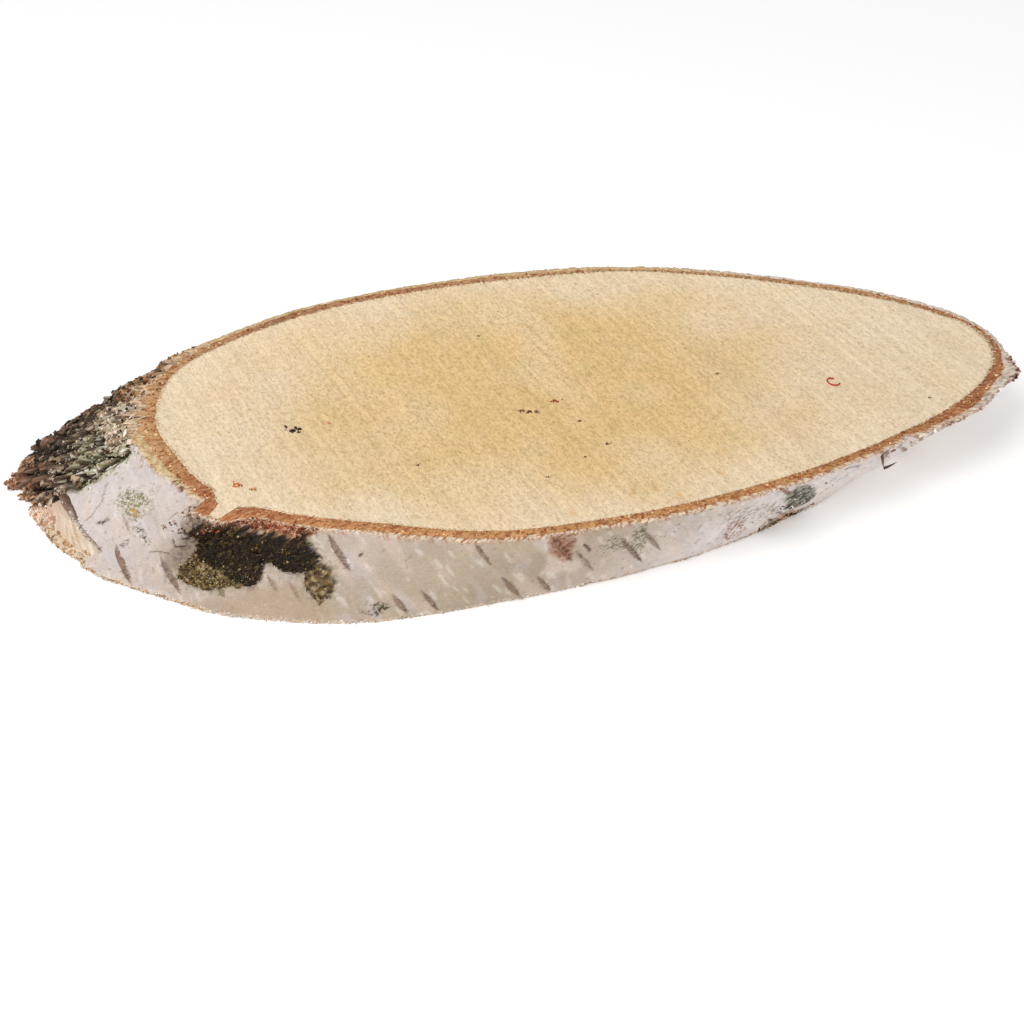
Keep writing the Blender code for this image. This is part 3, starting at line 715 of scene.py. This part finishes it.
class Batch:
    """Points, faces and colours gathered for one mesh."""

    def __init__(self):
        self.points = []
        self.faces = []
        self.tints = []
        self.count = 0

    def add(self, points, groups, tints):
        """Adds points with their tints, and groups of faces that number these points from 0."""
        for group in groups:
            self.faces.extend((group + self.count).tolist())
        self.points.append(points.reshape(-1, 3))
        self.tints.append(tints.reshape(-1, 3))
        self.count += len(self.points[-1])

    def add_each(self, points, patterns, tints):
        """Adds many shapes with the same faces. The points are an array of shapes by points by 3."""
        starts = (np.arange(len(points)) * points.shape[1])[:, None, None]
        self.add(points, [(starts + np.array(faces)).reshape(-1, len(faces[0])) for faces in patterns], tints)

    def piece(self, name, slot, material, smooth=False, sharp=None):
        points = np.concatenate(self.points)
        tints = linear(np.concatenate(self.tints))
        mesh = bpy.data.meshes.new(name)
        mesh.from_pydata((points * MM).tolist(), [], self.faces)
        tint = mesh.attributes.new("tint", "FLOAT_COLOR", "POINT")
        tint.data.foreach_set("color", np.column_stack((tints, np.ones(len(tints)))).ravel())
        mesh.polygons.foreach_set("use_smooth", [smooth] * len(mesh.polygons))
        if sharp:
            mesh.set_sharp_from_angle(angle=math.radians(sharp))
        mesh.materials.append(material)
        piece = add_object(name, mesh)
        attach(piece, "root")
        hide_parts("birch_slice")


def loft(sections, tints, closed=False):
    """A batch with one solid through sections by points by 3, with end caps unless it closes on itself."""
    index = np.arange(sections[..., 0].size).reshape(sections.shape[:2])
    rows = np.concatenate((index, index[:1])) if closed else index
    a, b = rows[:-1], rows[1:]
    quads = np.stack((a, np.roll(a, -1, axis=1), np.roll(b, -1, axis=1), b), axis=-1).reshape(-1, 4)
    faces = [quads] if closed else [quads, index[:1, ::-1], index[-1:]]
    corners = sections.reshape(-1, 3)[quads]
    out = np.cross(corners[:, 1] - corners[:, 0], corners[:, 2] - corners[:, 0])
    if np.einsum("ij,ij->", corners[:, 0], out) < 0:
        faces = [face[:, ::-1] for face in faces]
    batch = Batch()
    batch.add(sections, faces, tints)
    return batch


def across_frames(directions):
    """Two unit vectors across each direction."""
    helper = np.where(np.abs(directions[:, 2:]) < 0.8, (0.0, 0.0, 1.0), (1.0, 0.0, 0.0))
    first = unit(np.cross(directions, helper))
    return first, np.cross(directions, first)


def hairs(batch, roots, directions, lengths, widths, bends, tints, steps=2):
    """Tapered fibres of three sides that start at the roots and bend by these offsets at their tips. Each is
    painted darker at its root, a painted shade by the bark, and lighter towards its tip.
    """
    directions = unit(directions)
    first, second = across_frames(directions)
    points = np.zeros((len(roots), 3 * steps + 1, 3))
    shades = np.zeros(points.shape)
    for step in range(steps + 1):
        share = step / steps
        middle = roots + directions * (lengths * share)[:, None] + bends * share * share
        for side in range(3 if step < steps else 1):
            swing = 2 * math.pi * side / 3
            out = first * math.cos(swing) + second * math.sin(swing)
            points[:, 3 * step + side] = middle + out * (widths * 0.5 * (1 - share) ** 0.6)[:, None]
            # Painted shade: each fibre is darker at its root, by the bark, and lighter towards its tip.
            shades[:, 3 * step + side] = tints * (0.86 + 0.2 * share)
    points[:, :, 2] = np.maximum(points[:, :, 2], LEAST_HEIGHT + 0.01)
    last, tip = 3 * steps - 3, 3 * steps
    quads = [(low + side, low + (side + 1) % 3, low + 3 + (side + 1) % 3, low + 3 + side)
             for low in range(0, last, 3) for side in range(3)]
    tris = [(last, last + 1, tip), (last + 1, last + 2, tip), (last + 2, last, tip), (2, 1, 0)]
    batch.add_each(points, (quads, tris), shades)


def chips(batch, draw, centres, normals, sizes, tints, thick=0.18, sides=4):
    """Small irregular flakes, each a thin closed prism that lies across its normal."""
    normals = unit(normals)
    first, second = across_frames(normals)
    count = len(centres)
    swing = draw.uniform(0, 2 * math.pi, (count, 1)) + np.arange(sides) * 2 * math.pi / sides
    radius = sizes[:, None] * draw.uniform(0.55, 1.1, (count, sides))
    thin = draw.uniform(0.35, 1.0, (count, 1))
    across = (first[:, None] * (np.cos(swing) * radius)[..., None]
              + second[:, None] * (np.sin(swing) * radius * thin)[..., None])
    rise = normals[:, None] * (sizes[:, None] * thick * draw.uniform(0.5, 1.5, (count, sides)))[..., None]
    centres = centres[:, None]
    points = np.concatenate((centres + across - rise, centres + 0.8 * across + rise), axis=1)
    points[:, :, 2] = np.clip(points[:, :, 2], LEAST_HEIGHT, THICKNESS + MOST_RISE)
    walls = [(side, (side + 1) % sides, sides + (side + 1) % sides, sides + side) for side in range(sides)]
    ends = [range(sides)[::-1]], [range(sides, 2 * sides)]
    batch.add_each(points, (walls, *ends), np.repeat(tints, 2 * sides, axis=0))


def surface(angle, height):
    """Points on the finished bark, and the directions that lead out of it."""
    radius, _ = dress(Wall(angle, height))
    side = on_log(angle + 0.4, radius, height) - on_log(angle - 0.4, radius, height)
    rise = on_log(angle, radius, height + 0.2) - on_log(angle, radius, height - 0.2)
    return on_log(angle, radius, height), unit(np.cross(side, rise))


def rim_heights(angle):
    """The heights of the outer bark's torn lower edge and chipped upper edge."""
    foot, brow = Wall(angle, 0.0), Wall(angle, THICKNESS)
    low = FRINGE_LIFT * foot.patch(-0.3, 0.5, FRINGE_SIZE, 5) + 0.4 * ease(0.0, 0.4, comb(foot, 3.0))
    high = THICKNESS - BARK_DROP - RIM_CHIP * brow.patch(-0.2, 0.6, CHIP_SIZE, 6)
    return low, high - 0.45 * ease(0.0, 0.4, comb(brow, 4.0))


def outer_bark(name, slot, start, end, columns, rows, material):
    """A stretch of the outer bark as a closed solid, whose ends dip under its neighbours."""
    angles = even_angles(start, end, columns)
    low, high = rim_heights(angles)
    heights = low[:, None] + np.linspace(0, 1, rows) * (high - low)[:, None]
    wall = Wall(np.repeat(angles, rows), heights.ravel())
    radius, tint = dress(wall)
    radius -= 0.25 * (1 - ease(0, END_DIP, np.minimum(wall.angle - start, end - wall.angle)))
    outside = on_log(wall.angle, radius, wall.height).reshape(columns, rows, 3)
    foot, brow = radius[::rows], radius[rows - 1::rows]

    inner = np.minimum(rim_radius(angles, brow, 1.0), brow - LEAST_RIM)
    rough = rough_share(Wall(angles, THICKNESS))
    teeth = comb(Wall(angles, THICKNESS))
    near_side = ease(-152, -144, near(angles, -90)) * ease(-8, -20, near(angles, -90))
    right_end = ease(-50, -30, angles)
    flaky = right_end * ease(30, 0, angles)
    around, tints = [], []
    for step in RIM_STEPS:
        across = brow + step * (inner - brow)
        place = Wall(angles, THICKNESS)
        place.move_to(across)
        crumb = place.wobble(0.6, 80 + step) * 0.16
        lift = (THICKNESS - 0.12 - high) * ease(0.0, 0.35, step * (1 - 0.5 * rough))
        around.append(on_log(angles, across, np.minimum(high + lift + crumb, THICKNESS + 0.1)))
        brown = near_side * (1 - 0.8 * right_end) * ease(0.0, 0.3, teeth + 0.3 * (step - 0.3))
        tints.append(blend(
            (218, 196, 152),
            ((188, 148, 100), place.patch(-0.2, 0.4, 5, 81 + 3 * step, 0.5)),
            ((226, 208, 186), 0.85 * near_side),
            ((222, 212, 202), 0.8 * ease(-40, -28, angles) * ease(70, 50, angles)),
            ((158, 98, 60), 0.9 * brown),
            ((148, 128, 114), 0.7 * flaky * place.patch(0.05, 0.35, 1.1, 87 + step)),
            ((150, 104, 66), 0.6 * place.patch(0.2, 0.45, 0.9, 82 + step)),
            ((222, 196, 164), 0.7 * rough),
            ((104, 74, 54), 0.7 * rough * place.patch(0.05, 0.35, 0.8, 83 + 2 * step)),
        ))

    under = np.minimum(rim_radius(angles, foot, 0.0), foot - LEAST_RIM)
    around += hidden(angles, wood=False)
    beneath = []
    for step in (1.0, 0.6, 0.2):
        around.append(on_log(angles, foot + step * (under - foot), low * (1 - step) + 0.02))
        lower = Wall(angles, 0.0).patch(-0.1, 0.4, 0.9, 85 + step)
        beneath.append(blend((196, 160, 116), ((130, 88, 52), lower)))
    tints += beneath[:2] + beneath
    sections = np.concatenate((outside, np.stack(around, axis=1)), axis=1)
    tints = np.concatenate((tint.reshape(outside.shape), np.stack(tints, axis=1)), axis=1)
    loft(sections, tints).piece(name, slot, material, smooth=True, sharp=75)


def inner_bark(material):
    """The crumbly brown ring between the wood and the outer bark, right through the slice."""
    angles = face_angles(RING_COLUMNS)
    points, tints = [], []
    for height, steps in ((THICKNESS, np.linspace(-0.06, 1.0, 13)), (0.0, np.linspace(1.0, -0.06, 5))):
        start, edge, end, rim = layers(angles, height)
        base = tone_at(end, RING_ANGLES, RING_TONES)
        for step in steps:
            place = Wall(start + step * (end - start), height)
            across = edge + step * (rim - edge) + 0.12 * place.wobble(0.9, 90 + step)
            place.move_to(across)
            grain = place.wobble(1.0, 91)
            fine = place.wobble(0.4, 92)
            if height:
                drop = 0.12 + (0.2 * grain + 0.2 * fine) * ease(-0.1, 0.3, step) + 0.15 * ease(0.8, 1.0, step)
                rise = THICKNESS - np.maximum(drop, 0.02)
            else:
                rise = 0.02 + 0.15 * np.abs(grain)
            points.append(on_log(place.angle, across, rise))
            tints.append(blend(
                base * (0.95 + 0.1 * step + 0.09 * place.wobble(3.5, 94))[:, None],
                ((150, 84, 48), 0.65 * ease(0.05, 0.4, grain)),
                ((232, 194, 146), 0.6 * ease(0.1, 0.4, fine)),
                ((116, 64, 42), 0.6 * place.patch(0.22, 0.5, 0.55, 93)),
                ((150, 92, 54), 0.35 * ease(0.16, 0.0, step) * ease(-150, -170, angles)),
            ))
        points += hidden(angles, wood=False) if height else hidden(angles, wood=True)[::-1]
        tints += [base, base]
    batch = loft(np.stack(points, axis=1), np.stack(tints, axis=1), closed=True)
    batch.piece("inner_bark_ring", "inner_bark", material, smooth=True, sharp=80)


def wood_tint(point):
    """The cream wood, yellower and mottled in the middle, and paler towards both ends."""
    x, y = point[:, 0], point[:, 1]
    face = np.column_stack((x, y, 0 * x))
    middle = 1 - ease(18, 60, np.hypot((x - 4) * 0.8, y) + 12 * noise_at(face / 17))
    tint = blend(
        (233, 213, 182),
        ((226, 192, 136), middle),
        ((228, 198, 158), 0.25 * ease(0.05, 0.5, noise_at(face / 9 + 7))),
        ((212, 190, 130), 0.4 * ease(0.1, 0.5, noise_at(face / 6 + 13)) * middle),
        ((236, 220, 196), 0.25 * ease(0.0, 0.5, noise_at(face / 14 + 21))),
    )
    for at_x, at_y, size in SMUDGES:
        tint = blend(tint, ((214, 158, 96), 0.6 * ease(size, 0.2 * size, np.hypot(x - at_x, y - at_y))))
    return tint * (1 + 0.03 * ease(-20, 45, y))[:, None]


def wood(material):
    """The wood as a slab with both sawn faces, which ends in the inner bark."""
    angles = face_angles(WOOD_COLUMNS)
    shares = np.concatenate((np.linspace(0.01, 0.9, 26), (0.94, 0.97, 0.99, 1.0)))
    rings = []
    for height, order in ((THICKNESS, shares), (0.0, shares[::4][::-1])):
        start, edge, _, _ = layers(angles, height)
        wall = Wall(start, height)
        edge = edge + 0.2 * wall.wobble(0.7, 100) + 0.14 * wall.wobble(0.3, 101)
        edge += 0.5 * ease(0.05, 0.4, comb(wall, 7.0, 0.5)) * ease(-20, 10, angles) * ease(150, 120, angles)
        inner = np.minimum(ring_at(WOOD, angles), edge)
        rings += [on_log(angles, inner * share, height) for share in order if share < 1]
        if height:
            rings += [on_log(start, edge, height - 0.1)] + hidden(angles, wood=True)
    sections = np.stack(rings)
    loft(sections, wood_tint(sections.reshape(-1, 3))).piece("wood_slab", "birch_wood", material)


def pick(draw, colours, count):
    """Colours drawn from a few, with a little change in lightness."""
    chosen = np.array(colours, float)[draw.integers(0, len(colours), count)]
    return chosen * draw.uniform(0.85, 1.12, (count, 1))


def few_big(draw, count, least, more):
    """Sizes from the least up, few of them much bigger."""
    return least + more * draw.random(count) ** 2


def jitter(draw, count, spread, about=(0, 0, 0), flat=1.0):
    """Vectors scattered about one, with their rise and fall flattened."""
    return draw.normal(0, spread, (count, 3)) * (1, 1, flat) + about


def down_round(angle):
    """Directions that follow the bark's fibres round the log, downwards."""
    place = np.radians(angle)
    way = np.stack((-np.sin(place) * math.cos(LEAN), np.cos(place), np.sin(place) * math.sin(LEAN)), axis=1)
    return way * np.where(np.sin(place) < 0, 1.0, -1.0)[:, None]


def fringe(material):
    """Torn fibres along the lower and upper rims and along the wood's edge."""
    draw = np.random.default_rng(5)
    batch = Batch()

    count = 3400
    angle = draw.uniform(-182, 178, count)
    height = few_big(draw, count, 0.1, 0.6)
    point, out = surface(angle, height)
    torn = (angle < -150) | (angle > 140)
    clump = Wall(angle, height).patch(-0.2, 0.5, 2.2, 110)
    lengths = few_big(draw, count, 0.25, 0.7) * (0.4 + clump) * np.where(torn, 1.7, 1.0)
    direction = out * draw.uniform(0.1, 0.6, (count, 1)) + down_round(angle) + jitter(draw, count, 0.3)
    bend = jitter(draw, count, 0.1, (0, 0, -0.15))
    tints = np.where(torn[:, None], pick(draw, TORN_FIBRES, count), pick(draw, EVEN_FIBRES, count))
    hairs(batch, point - out * 0.1, direction, lengths, draw.uniform(0.14, 0.34, count), bend, tints)

    count = 5200
    angle = draw.uniform(-180, 180, count)
    wall = Wall(angle, THICKNESS)
    inset = draw.uniform(0.0, 0.6, count) * np.where((angle < -20) & (angle > -150), 0.5, 1.0)
    root = on_log(angle, dress(wall)[0] - inset, rim_heights(angle)[1] + 0.02)
    _, out = surface(angle, THICKNESS - 0.4)
    direction = out * draw.uniform(0.1, 0.5, (count, 1)) + down_round(angle) + jitter(draw, count, 0.2)
    lengths = few_big(draw, count, 0.2, 0.6) * (0.4 + 0.8 * wall.patch(-0.3, 0.4, 1.6, 111))
    bend = jitter(draw, count, 0.06, (0, 0, -0.1))
    widths = draw.uniform(0.1, 0.24, count)
    hairs(batch, root, direction, lengths, widths, bend, pick(draw, RIM_FIBRES, count))

    count = 2000
    angle = draw.uniform(-180, 180, count)
    start, edge, _, _ = layers(angle, THICKNESS)
    root = on_log(start, edge - draw.uniform(0.0, 0.3, count), THICKNESS)
    outward = unit(on_log(angle, edge, THICKNESS) - on_log(angle, edge - 1, THICKNESS))
    direction = outward + jitter(draw, count, 0.3, (0, 0.2, 0.02), flat=0.3)
    lengths = few_big(draw, count, 0.2, 0.5) * np.where((angle > -15) & (angle < 140), 1.5, 1.0)
    bend = jitter(draw, count, 0.08, (0, 0, -0.04), flat=0.2)
    widths = draw.uniform(0.1, 0.24, count)
    hairs(batch, root, direction, lengths, widths, bend, pick(draw, WOOD_FIBRES, count))

    # Saw teeth: short brown strokes that the blade dragged from the far ring over the wood
    angle = np.arange(12, 112, 0.8) + draw.normal(0, 0.12, 125)
    count = len(angle)
    start, edge, _, _ = layers(angle, THICKNESS)
    root = on_log(start, edge + 0.2, THICKNESS + 0.02)
    direction = jitter(draw, count, 0.15, (0.12, -1.0, 0.0), flat=0.0)
    lengths = draw.uniform(0.7, 1.5, count)
    widths = draw.uniform(0.3, 0.5, count)
    hairs(batch, root, direction, lengths, widths, np.zeros((count, 3)), pick(draw, SAW_FIBRES, count))

    # A hook of torn bark under the rim near the right end: one fibre down, and one up from its tip
    point, _ = surface(np.array([-49.6]), 13.0)
    root = point + ((0, 0, 0), (0.3, -0.9, -3.1))
    direction = np.array(((0.1, -0.3, -1.0), (1.0, -0.2, 0.4)))
    bend = np.array(((0, 0, 0), (0, 0, 0.6)))
    tints = np.array(((112.0, 84, 70), (84.0, 70, 60)))
    hairs(batch, root, direction, np.array((3.2, 2.8)), np.array((0.9, 0.8)), bend, tints, steps=3)
    batch.piece("torn_fringe", "birch_wood", material)


def moss(material):
    """Short curled fibres and grains of moss over the dark pads."""
    draw = np.random.default_rng(7)
    batch = Batch()
    angle = draw.uniform(-145, -112, 15000)
    height = draw.uniform(1.5, 14.2, len(angle))
    depth, olive, _ = moss_cover(Wall(angle, height))
    keep = depth > draw.uniform(0.12, 0.6, len(angle))
    angle, height, depth, olive = (values[keep] for values in (angle, height, depth, olive))
    count = len(angle)
    point, out = surface(angle, height)
    direction = out * 0.6 + jitter(draw, count, 0.8)
    bend = jitter(draw, count, 0.15, (0, 0, -0.1))
    tints = pick(draw, ((34, 24, 12), (52, 38, 20), (24, 17, 9), (78, 62, 32), (48, 28, 20)), count)
    bright = draw.random(count) < 0.08 + 0.45 * olive
    tints[bright] = pick(draw, ((122, 98, 52), (92, 72, 36), (166, 148, 100), (112, 84, 40)), bright.sum())
    lengths = draw.uniform(0.15, 0.5, count) * (0.6 + 0.5 * depth)
    hairs(batch, point - out * 0.1, direction, lengths, draw.uniform(0.14, 0.32, count), bend, tints)
    grains = draw.random(count) < 0.22
    point, out, tints = point[grains], out[grains], tints[grains]
    count = len(point)
    normal = out + jitter(draw, count, 0.8)
    chips(batch, draw, point + out * 0.05, normal, draw.uniform(0.12, 0.34, count), tints * 1.1, 0.5)
    batch.piece("moss_clumps", "moss", material)


def flakes(material):
    """Flakes and crumbs of bark: on the rough bark, round the knot, and along both rims."""
    draw = np.random.default_rng(9)
    batch = Batch()
    for first, last, low, high, count, least, most, tilt, colours, *thick in FLAKES:
        point, out = surface(draw.uniform(first, last, count), draw.uniform(low, high, count))
        normal = out + jitter(draw, count, tilt)
        size = few_big(draw, count, least, most - least)
        chips(batch, draw, point, normal, size, pick(draw, colours, count), *thick)
    batch.piece("bark_flakes", "rough_bark", material)


def crumbs(material):
    """Crumbs in the brown ring, and dark specks of crumbs that lie on the sawn face."""
    draw = np.random.default_rng(13)
    batch = Batch()
    count = 900
    start, edge, end, rim = layers(draw.uniform(-180, 180, count), THICKNESS)
    share = draw.uniform(0.05, 0.95, count)
    centre = on_log(start + share * (end - start), edge + share * (rim - edge), THICKNESS - 0.12)
    normal = jitter(draw, count, 0.5, (0, 0, 1))
    sizes = draw.uniform(0.12, 0.42, count)
    tints = pick(draw, ((170, 96, 54), (214, 170, 120), (130, 68, 40), (232, 202, 160)), count)
    chips(batch, draw, centre, normal, sizes, tints, 0.3, sides=5)
    for x, y, size, colour in SPECKS:
        spread = draw.normal(0, 0.45 * size, (SPECK_GRAINS, 3)) * (1.3, 1, 0)
        centre = np.array((x, y, THICKNESS + 0.03)) + spread
        normal = jitter(draw, SPECK_GRAINS, 0.25, (0, 0, 1))
        sizes = draw.uniform(0.25, 0.65, SPECK_GRAINS) * size
        tints = np.array(colour, float) * draw.uniform(0.8, 1.15, (SPECK_GRAINS, 1))
        chips(batch, draw, centre, normal, sizes, tints, 0.2, sides=5)
    batch.piece("crumbs_and_specks", "inner_bark", material)


def thread(material):
    """A short curled red thread that lies on the wood."""
    steps = np.linspace(0, len(THREAD) - 1, 25)
    line = np.stack([np.interp(steps, range(len(THREAD)), way) for way in zip(*THREAD)] + [0 * steps], axis=1)
    line[1:-1] = (line[:-2] + 2 * line[1:-1] + line[2:]) / 4
    line[:, 2] = THICKNESS + 0.16 + 0.12 * np.sin(steps * 1.7)
    first, second = across_frames(unit(np.gradient(line, axis=0)))
    swing = (np.arange(6) * math.pi / 3)[:, None]
    ring = first[:, None] * np.cos(swing) + second[:, None] * np.sin(swing)
    sections = line[:, None] + THREAD_RADIUS * ring
    tints = np.broadcast_to((196.0, 52, 40), sections.shape)
    loft(sections, tints).piece("red_thread", "inner_bark", material, smooth=True)


# Materials


class Shader:
    """A material built from nodes, with short calls."""

    def __init__(self, name):
        self.material = bpy.data.materials.new(name)
        self.material.use_nodes = True
        self.tree = self.material.node_tree
        self.surface = self.tree.nodes["Principled BSDF"]
        self.mm = self.times(self.node("TexCoord").outputs["Object"], 1000.0)
        self.tint = self.node("Attribute", attribute_name="tint").outputs["Color"]

    def feed(self, node, inputs):
        """Links or sets a node's inputs."""
        for key, value in inputs.items():
            if isinstance(value, bpy.types.NodeSocket):
                self.tree.links.new(value, node.inputs[key])
            else:
                node.inputs[key].default_value = value

    def node(self, kind, inputs=None, **settings):
        made = self.tree.nodes.new("ShaderNode" + kind)
        for key, value in settings.items():
            setattr(made, key, value)
        self.feed(made, inputs or {})
        return made

    def noise(self, vector, scale, detail=2.0, rough=0.55):
        inputs = {"Vector": vector, "Scale": scale, "Detail": detail, "Roughness": rough}
        return self.node("TexNoise", inputs).outputs["Fac"]

    def stretched(self, scale):
        return self.node("Mapping", {"Vector": self.mm, "Scale": scale}).outputs[0]

    def ramp(self, value, low, high, start=0.0, end=1.0):
        inputs = {"Value": value, "From Min": low, "From Max": high, "To Min": start, "To Max": end}
        return self.node("MapRange", inputs, interpolation_type="SMOOTHSTEP").outputs[0]

    def times(self, colour, value):
        return self.node("VectorMath", {"Vector": colour, "Scale": value}, operation="SCALE").outputs[0]

    def shade(self, colour, value, low, high, darkest, lightest):
        """The colour times a factor that rises with the value."""
        return self.times(colour, self.ramp(value, low, high, darkest, lightest))

    def product(self, a, b):
        return self.node("Math", {0: a, 1: b}, operation="MULTIPLY").outputs[0]

    def over(self, under, colour, share, strength):
        inputs = {0: self.product(share, strength), 6: under, 7: (*linear(np.array(colour, float)), 1)}
        return self.node("Mix", inputs, data_type="RGBA").outputs[2]

    def finish(self, colour, roughness, height, distance, strength=0.6):
        bump = self.node("Bump", {"Height": height, "Distance": distance * MM, "Strength": strength})
        self.feed(self.surface, {"Base Color": colour, "Roughness": roughness, "Normal": bump.outputs[0],
                                 "Specular IOR Level": 0.25})
        return self.material


def wood_material():
    shader = Shader("sawn_birch")

    def grain(width, length, detail, move):
        """Noise stretched along the saw's stroke."""
        inputs = {"Vector": shader.mm, "Rotation": (0, 0, 0.234), "Scale": (width, length, 1),
                  "Location": (move, move, 0)}
        stretched = shader.node("Mapping", inputs, vector_type="TEXTURE").outputs[0]
        return shader.noise(stretched, 1.0, detail, 0.6)

    fibre = grain(0.4, 0.9, 3.0, 0.0)
    streak = grain(0.8, 2.4, 2.0, 31.0)
    saw = grain(0.8, 70.0, 3.0, 9.0)
    fleck = grain(0.5, 0.9, 2.0, 57.0)
    pore = grain(0.36, 0.4, 0.0, 83.0)
    yellow = grain(0.9, 1.4, 3.0, 45.0)
    patch = shader.noise(shader.mm, 0.05, 2.0)
    far = shader.node("VectorMath", {0: shader.stretched((0.8, 1, 0))}, operation="LENGTH").outputs["Value"]
    strong = shader.ramp(far, 18, 62, 0.6, 0.34)
    colour = shader.over(shader.tint, (178, 138, 84), shader.ramp(fibre, 0.55, 0.25), strong)
    colour = shader.shade(colour, fibre, 0.45, 0.75, 0.98, 1.09)
    colour = shader.shade(colour, streak, 0.3, 0.7, 0.95, 1.04)
    colour = shader.shade(colour, saw, 0.3, 0.7, 0.93, 1.06)
    colour = shader.over(colour, (192, 148, 90), shader.ramp(fleck, 0.58, 0.74), 0.6)
    colour = shader.over(colour, (178, 144, 78), shader.ramp(yellow, 0.58, 0.72), strong)
    dotted = shader.product(shader.ramp(pore, 0.79, 0.83), shader.ramp(patch, 0.4, 0.65))
    colour = shader.over(colour, (96, 72, 38), dotted, 0.85)
    height = shader.node("Math", {0: saw, 1: 0.7, 2: fibre}, operation="MULTIPLY_ADD").outputs[0]
    return shader.finish(colour, shader.ramp(fibre, 0.2, 0.8, 0.62, 0.8), height, 0.12, 0.6)


def bark_material():
    shader = Shader("birch_bark")
    fine = shader.noise(shader.mm, 3.2, 4.0, 0.65)
    streak = shader.noise(shader.stretched((0.5, 0.5, 2.2)), 1.6, 3.0)
    colour = shader.shade(shader.tint, fine, 0.25, 0.75, 0.88, 1.1)
    colour = shader.shade(colour, streak, 0.3, 0.7, 0.96, 1.04)
    height = shader.node("Math", {0: streak, 1: 0.5, 2: fine}, operation="MULTIPLY_ADD").outputs[0]
    return shader.finish(colour, shader.ramp(streak, 0.3, 0.7, 0.5, 0.72), height, 0.1)


def ring_material():
    shader = Shader("inner_bark_crumb")
    fine = shader.noise(shader.mm, 2.6, 4.0, 0.7)
    return shader.finish(shader.shade(shader.tint, fine, 0.25, 0.75, 0.78, 1.16), 0.88, fine, 0.25, 0.8)


def fibre_material(name, rough):
    shader = Shader(name)
    fine = shader.noise(shader.mm, 4.0, 3.0, 0.6)
    return shader.finish(shader.shade(shader.tint, fine, 0.25, 0.75, 0.85, 1.12), rough, fine, 0.05)


def floor_material():
    material = bpy.data.materials.new("pale_floor")
    material.use_nodes = True
    inputs = material.node_tree.nodes["Principled BSDF"].inputs
    inputs["Base Color"].default_value = (0.93, 0.93, 0.93, 1)
    inputs["Roughness"].default_value = 0.9
    inputs["Emission Color"].default_value = (1, 1, 1, 1)
    inputs["Emission Strength"].default_value = 0.18
    inputs["Specular IOR Level"].default_value = 0.1
    return material


# Camera, light and floor, in metres


def make_camera():
    data = bpy.data.cameras.new("camera")
    data.lens = 70.31
    data.sensor_width = 36
    data.clip_start = 0.01
    camera = add_object("camera", data)
    camera.location = (-0.07512, -0.34214, 0.22190)
    camera.rotation_euler = (math.radians(55.88), 0, math.radians(-12.12))
    bpy.context.scene.camera = camera


def area_light(name, place, target, size, power):
    data = bpy.data.lights.new(name, "AREA")
    data.shape = "DISK"
    data.size = size
    data.energy = power
    lamp = add_object(name, data)
    lamp.location = place
    way = np.array(target) - np.array(place)
    lamp.rotation_euler = (math.atan2(math.hypot(way[0], way[1]), -way[2]), 0,
                           math.atan2(way[1], way[0]) - math.pi / 2)


def make_light():
    world = bpy.data.worlds.new("studio")
    world.use_nodes = True
    background = world.node_tree.nodes["Background"]
    background.inputs["Color"].default_value = (1, 1, 1, 1)
    background.inputs["Strength"].default_value = 0.62
    bpy.context.scene.world = world
    area_light("key", (-0.35, -0.25, 0.65), (0, 0, 0), 0.5, 2.6)
    area_light("front", (-0.1, -0.8, 0.3), (0, 0, 0.01), 0.6, 1.6)


def make_floor():
    mesh = bpy.data.meshes.new("floor")
    corners = [(x * FLOOR_HALF, y * FLOOR_HALF, 0) for x, y in ((-1, -1), (1, -1), (1, 1), (-1, 1))]
    mesh.from_pydata(corners, [], [(0, 1, 2, 3)])
    mesh.materials.append(floor_material())
    floor = add_object("floor", mesh)


def main():
    bark = bark_material()
    fibre = fibre_material("torn_fibre", 0.85)
    wood(wood_material())
    inner_bark(ring_material())
    for stretch in STRETCHES:
        outer_bark(*stretch, bark)
    fringe(fibre)
    moss(fibre_material("moss_leaf", 0.95))
    flakes(fibre_material("bark_flake", 0.85))
    crumbs(fibre)
    thread(fibre_material("red_fibre", 0.7))
    make_camera()
    make_light()
    make_floor()
    bpy.context.scene.view_settings.view_transform = "Standard"


main()
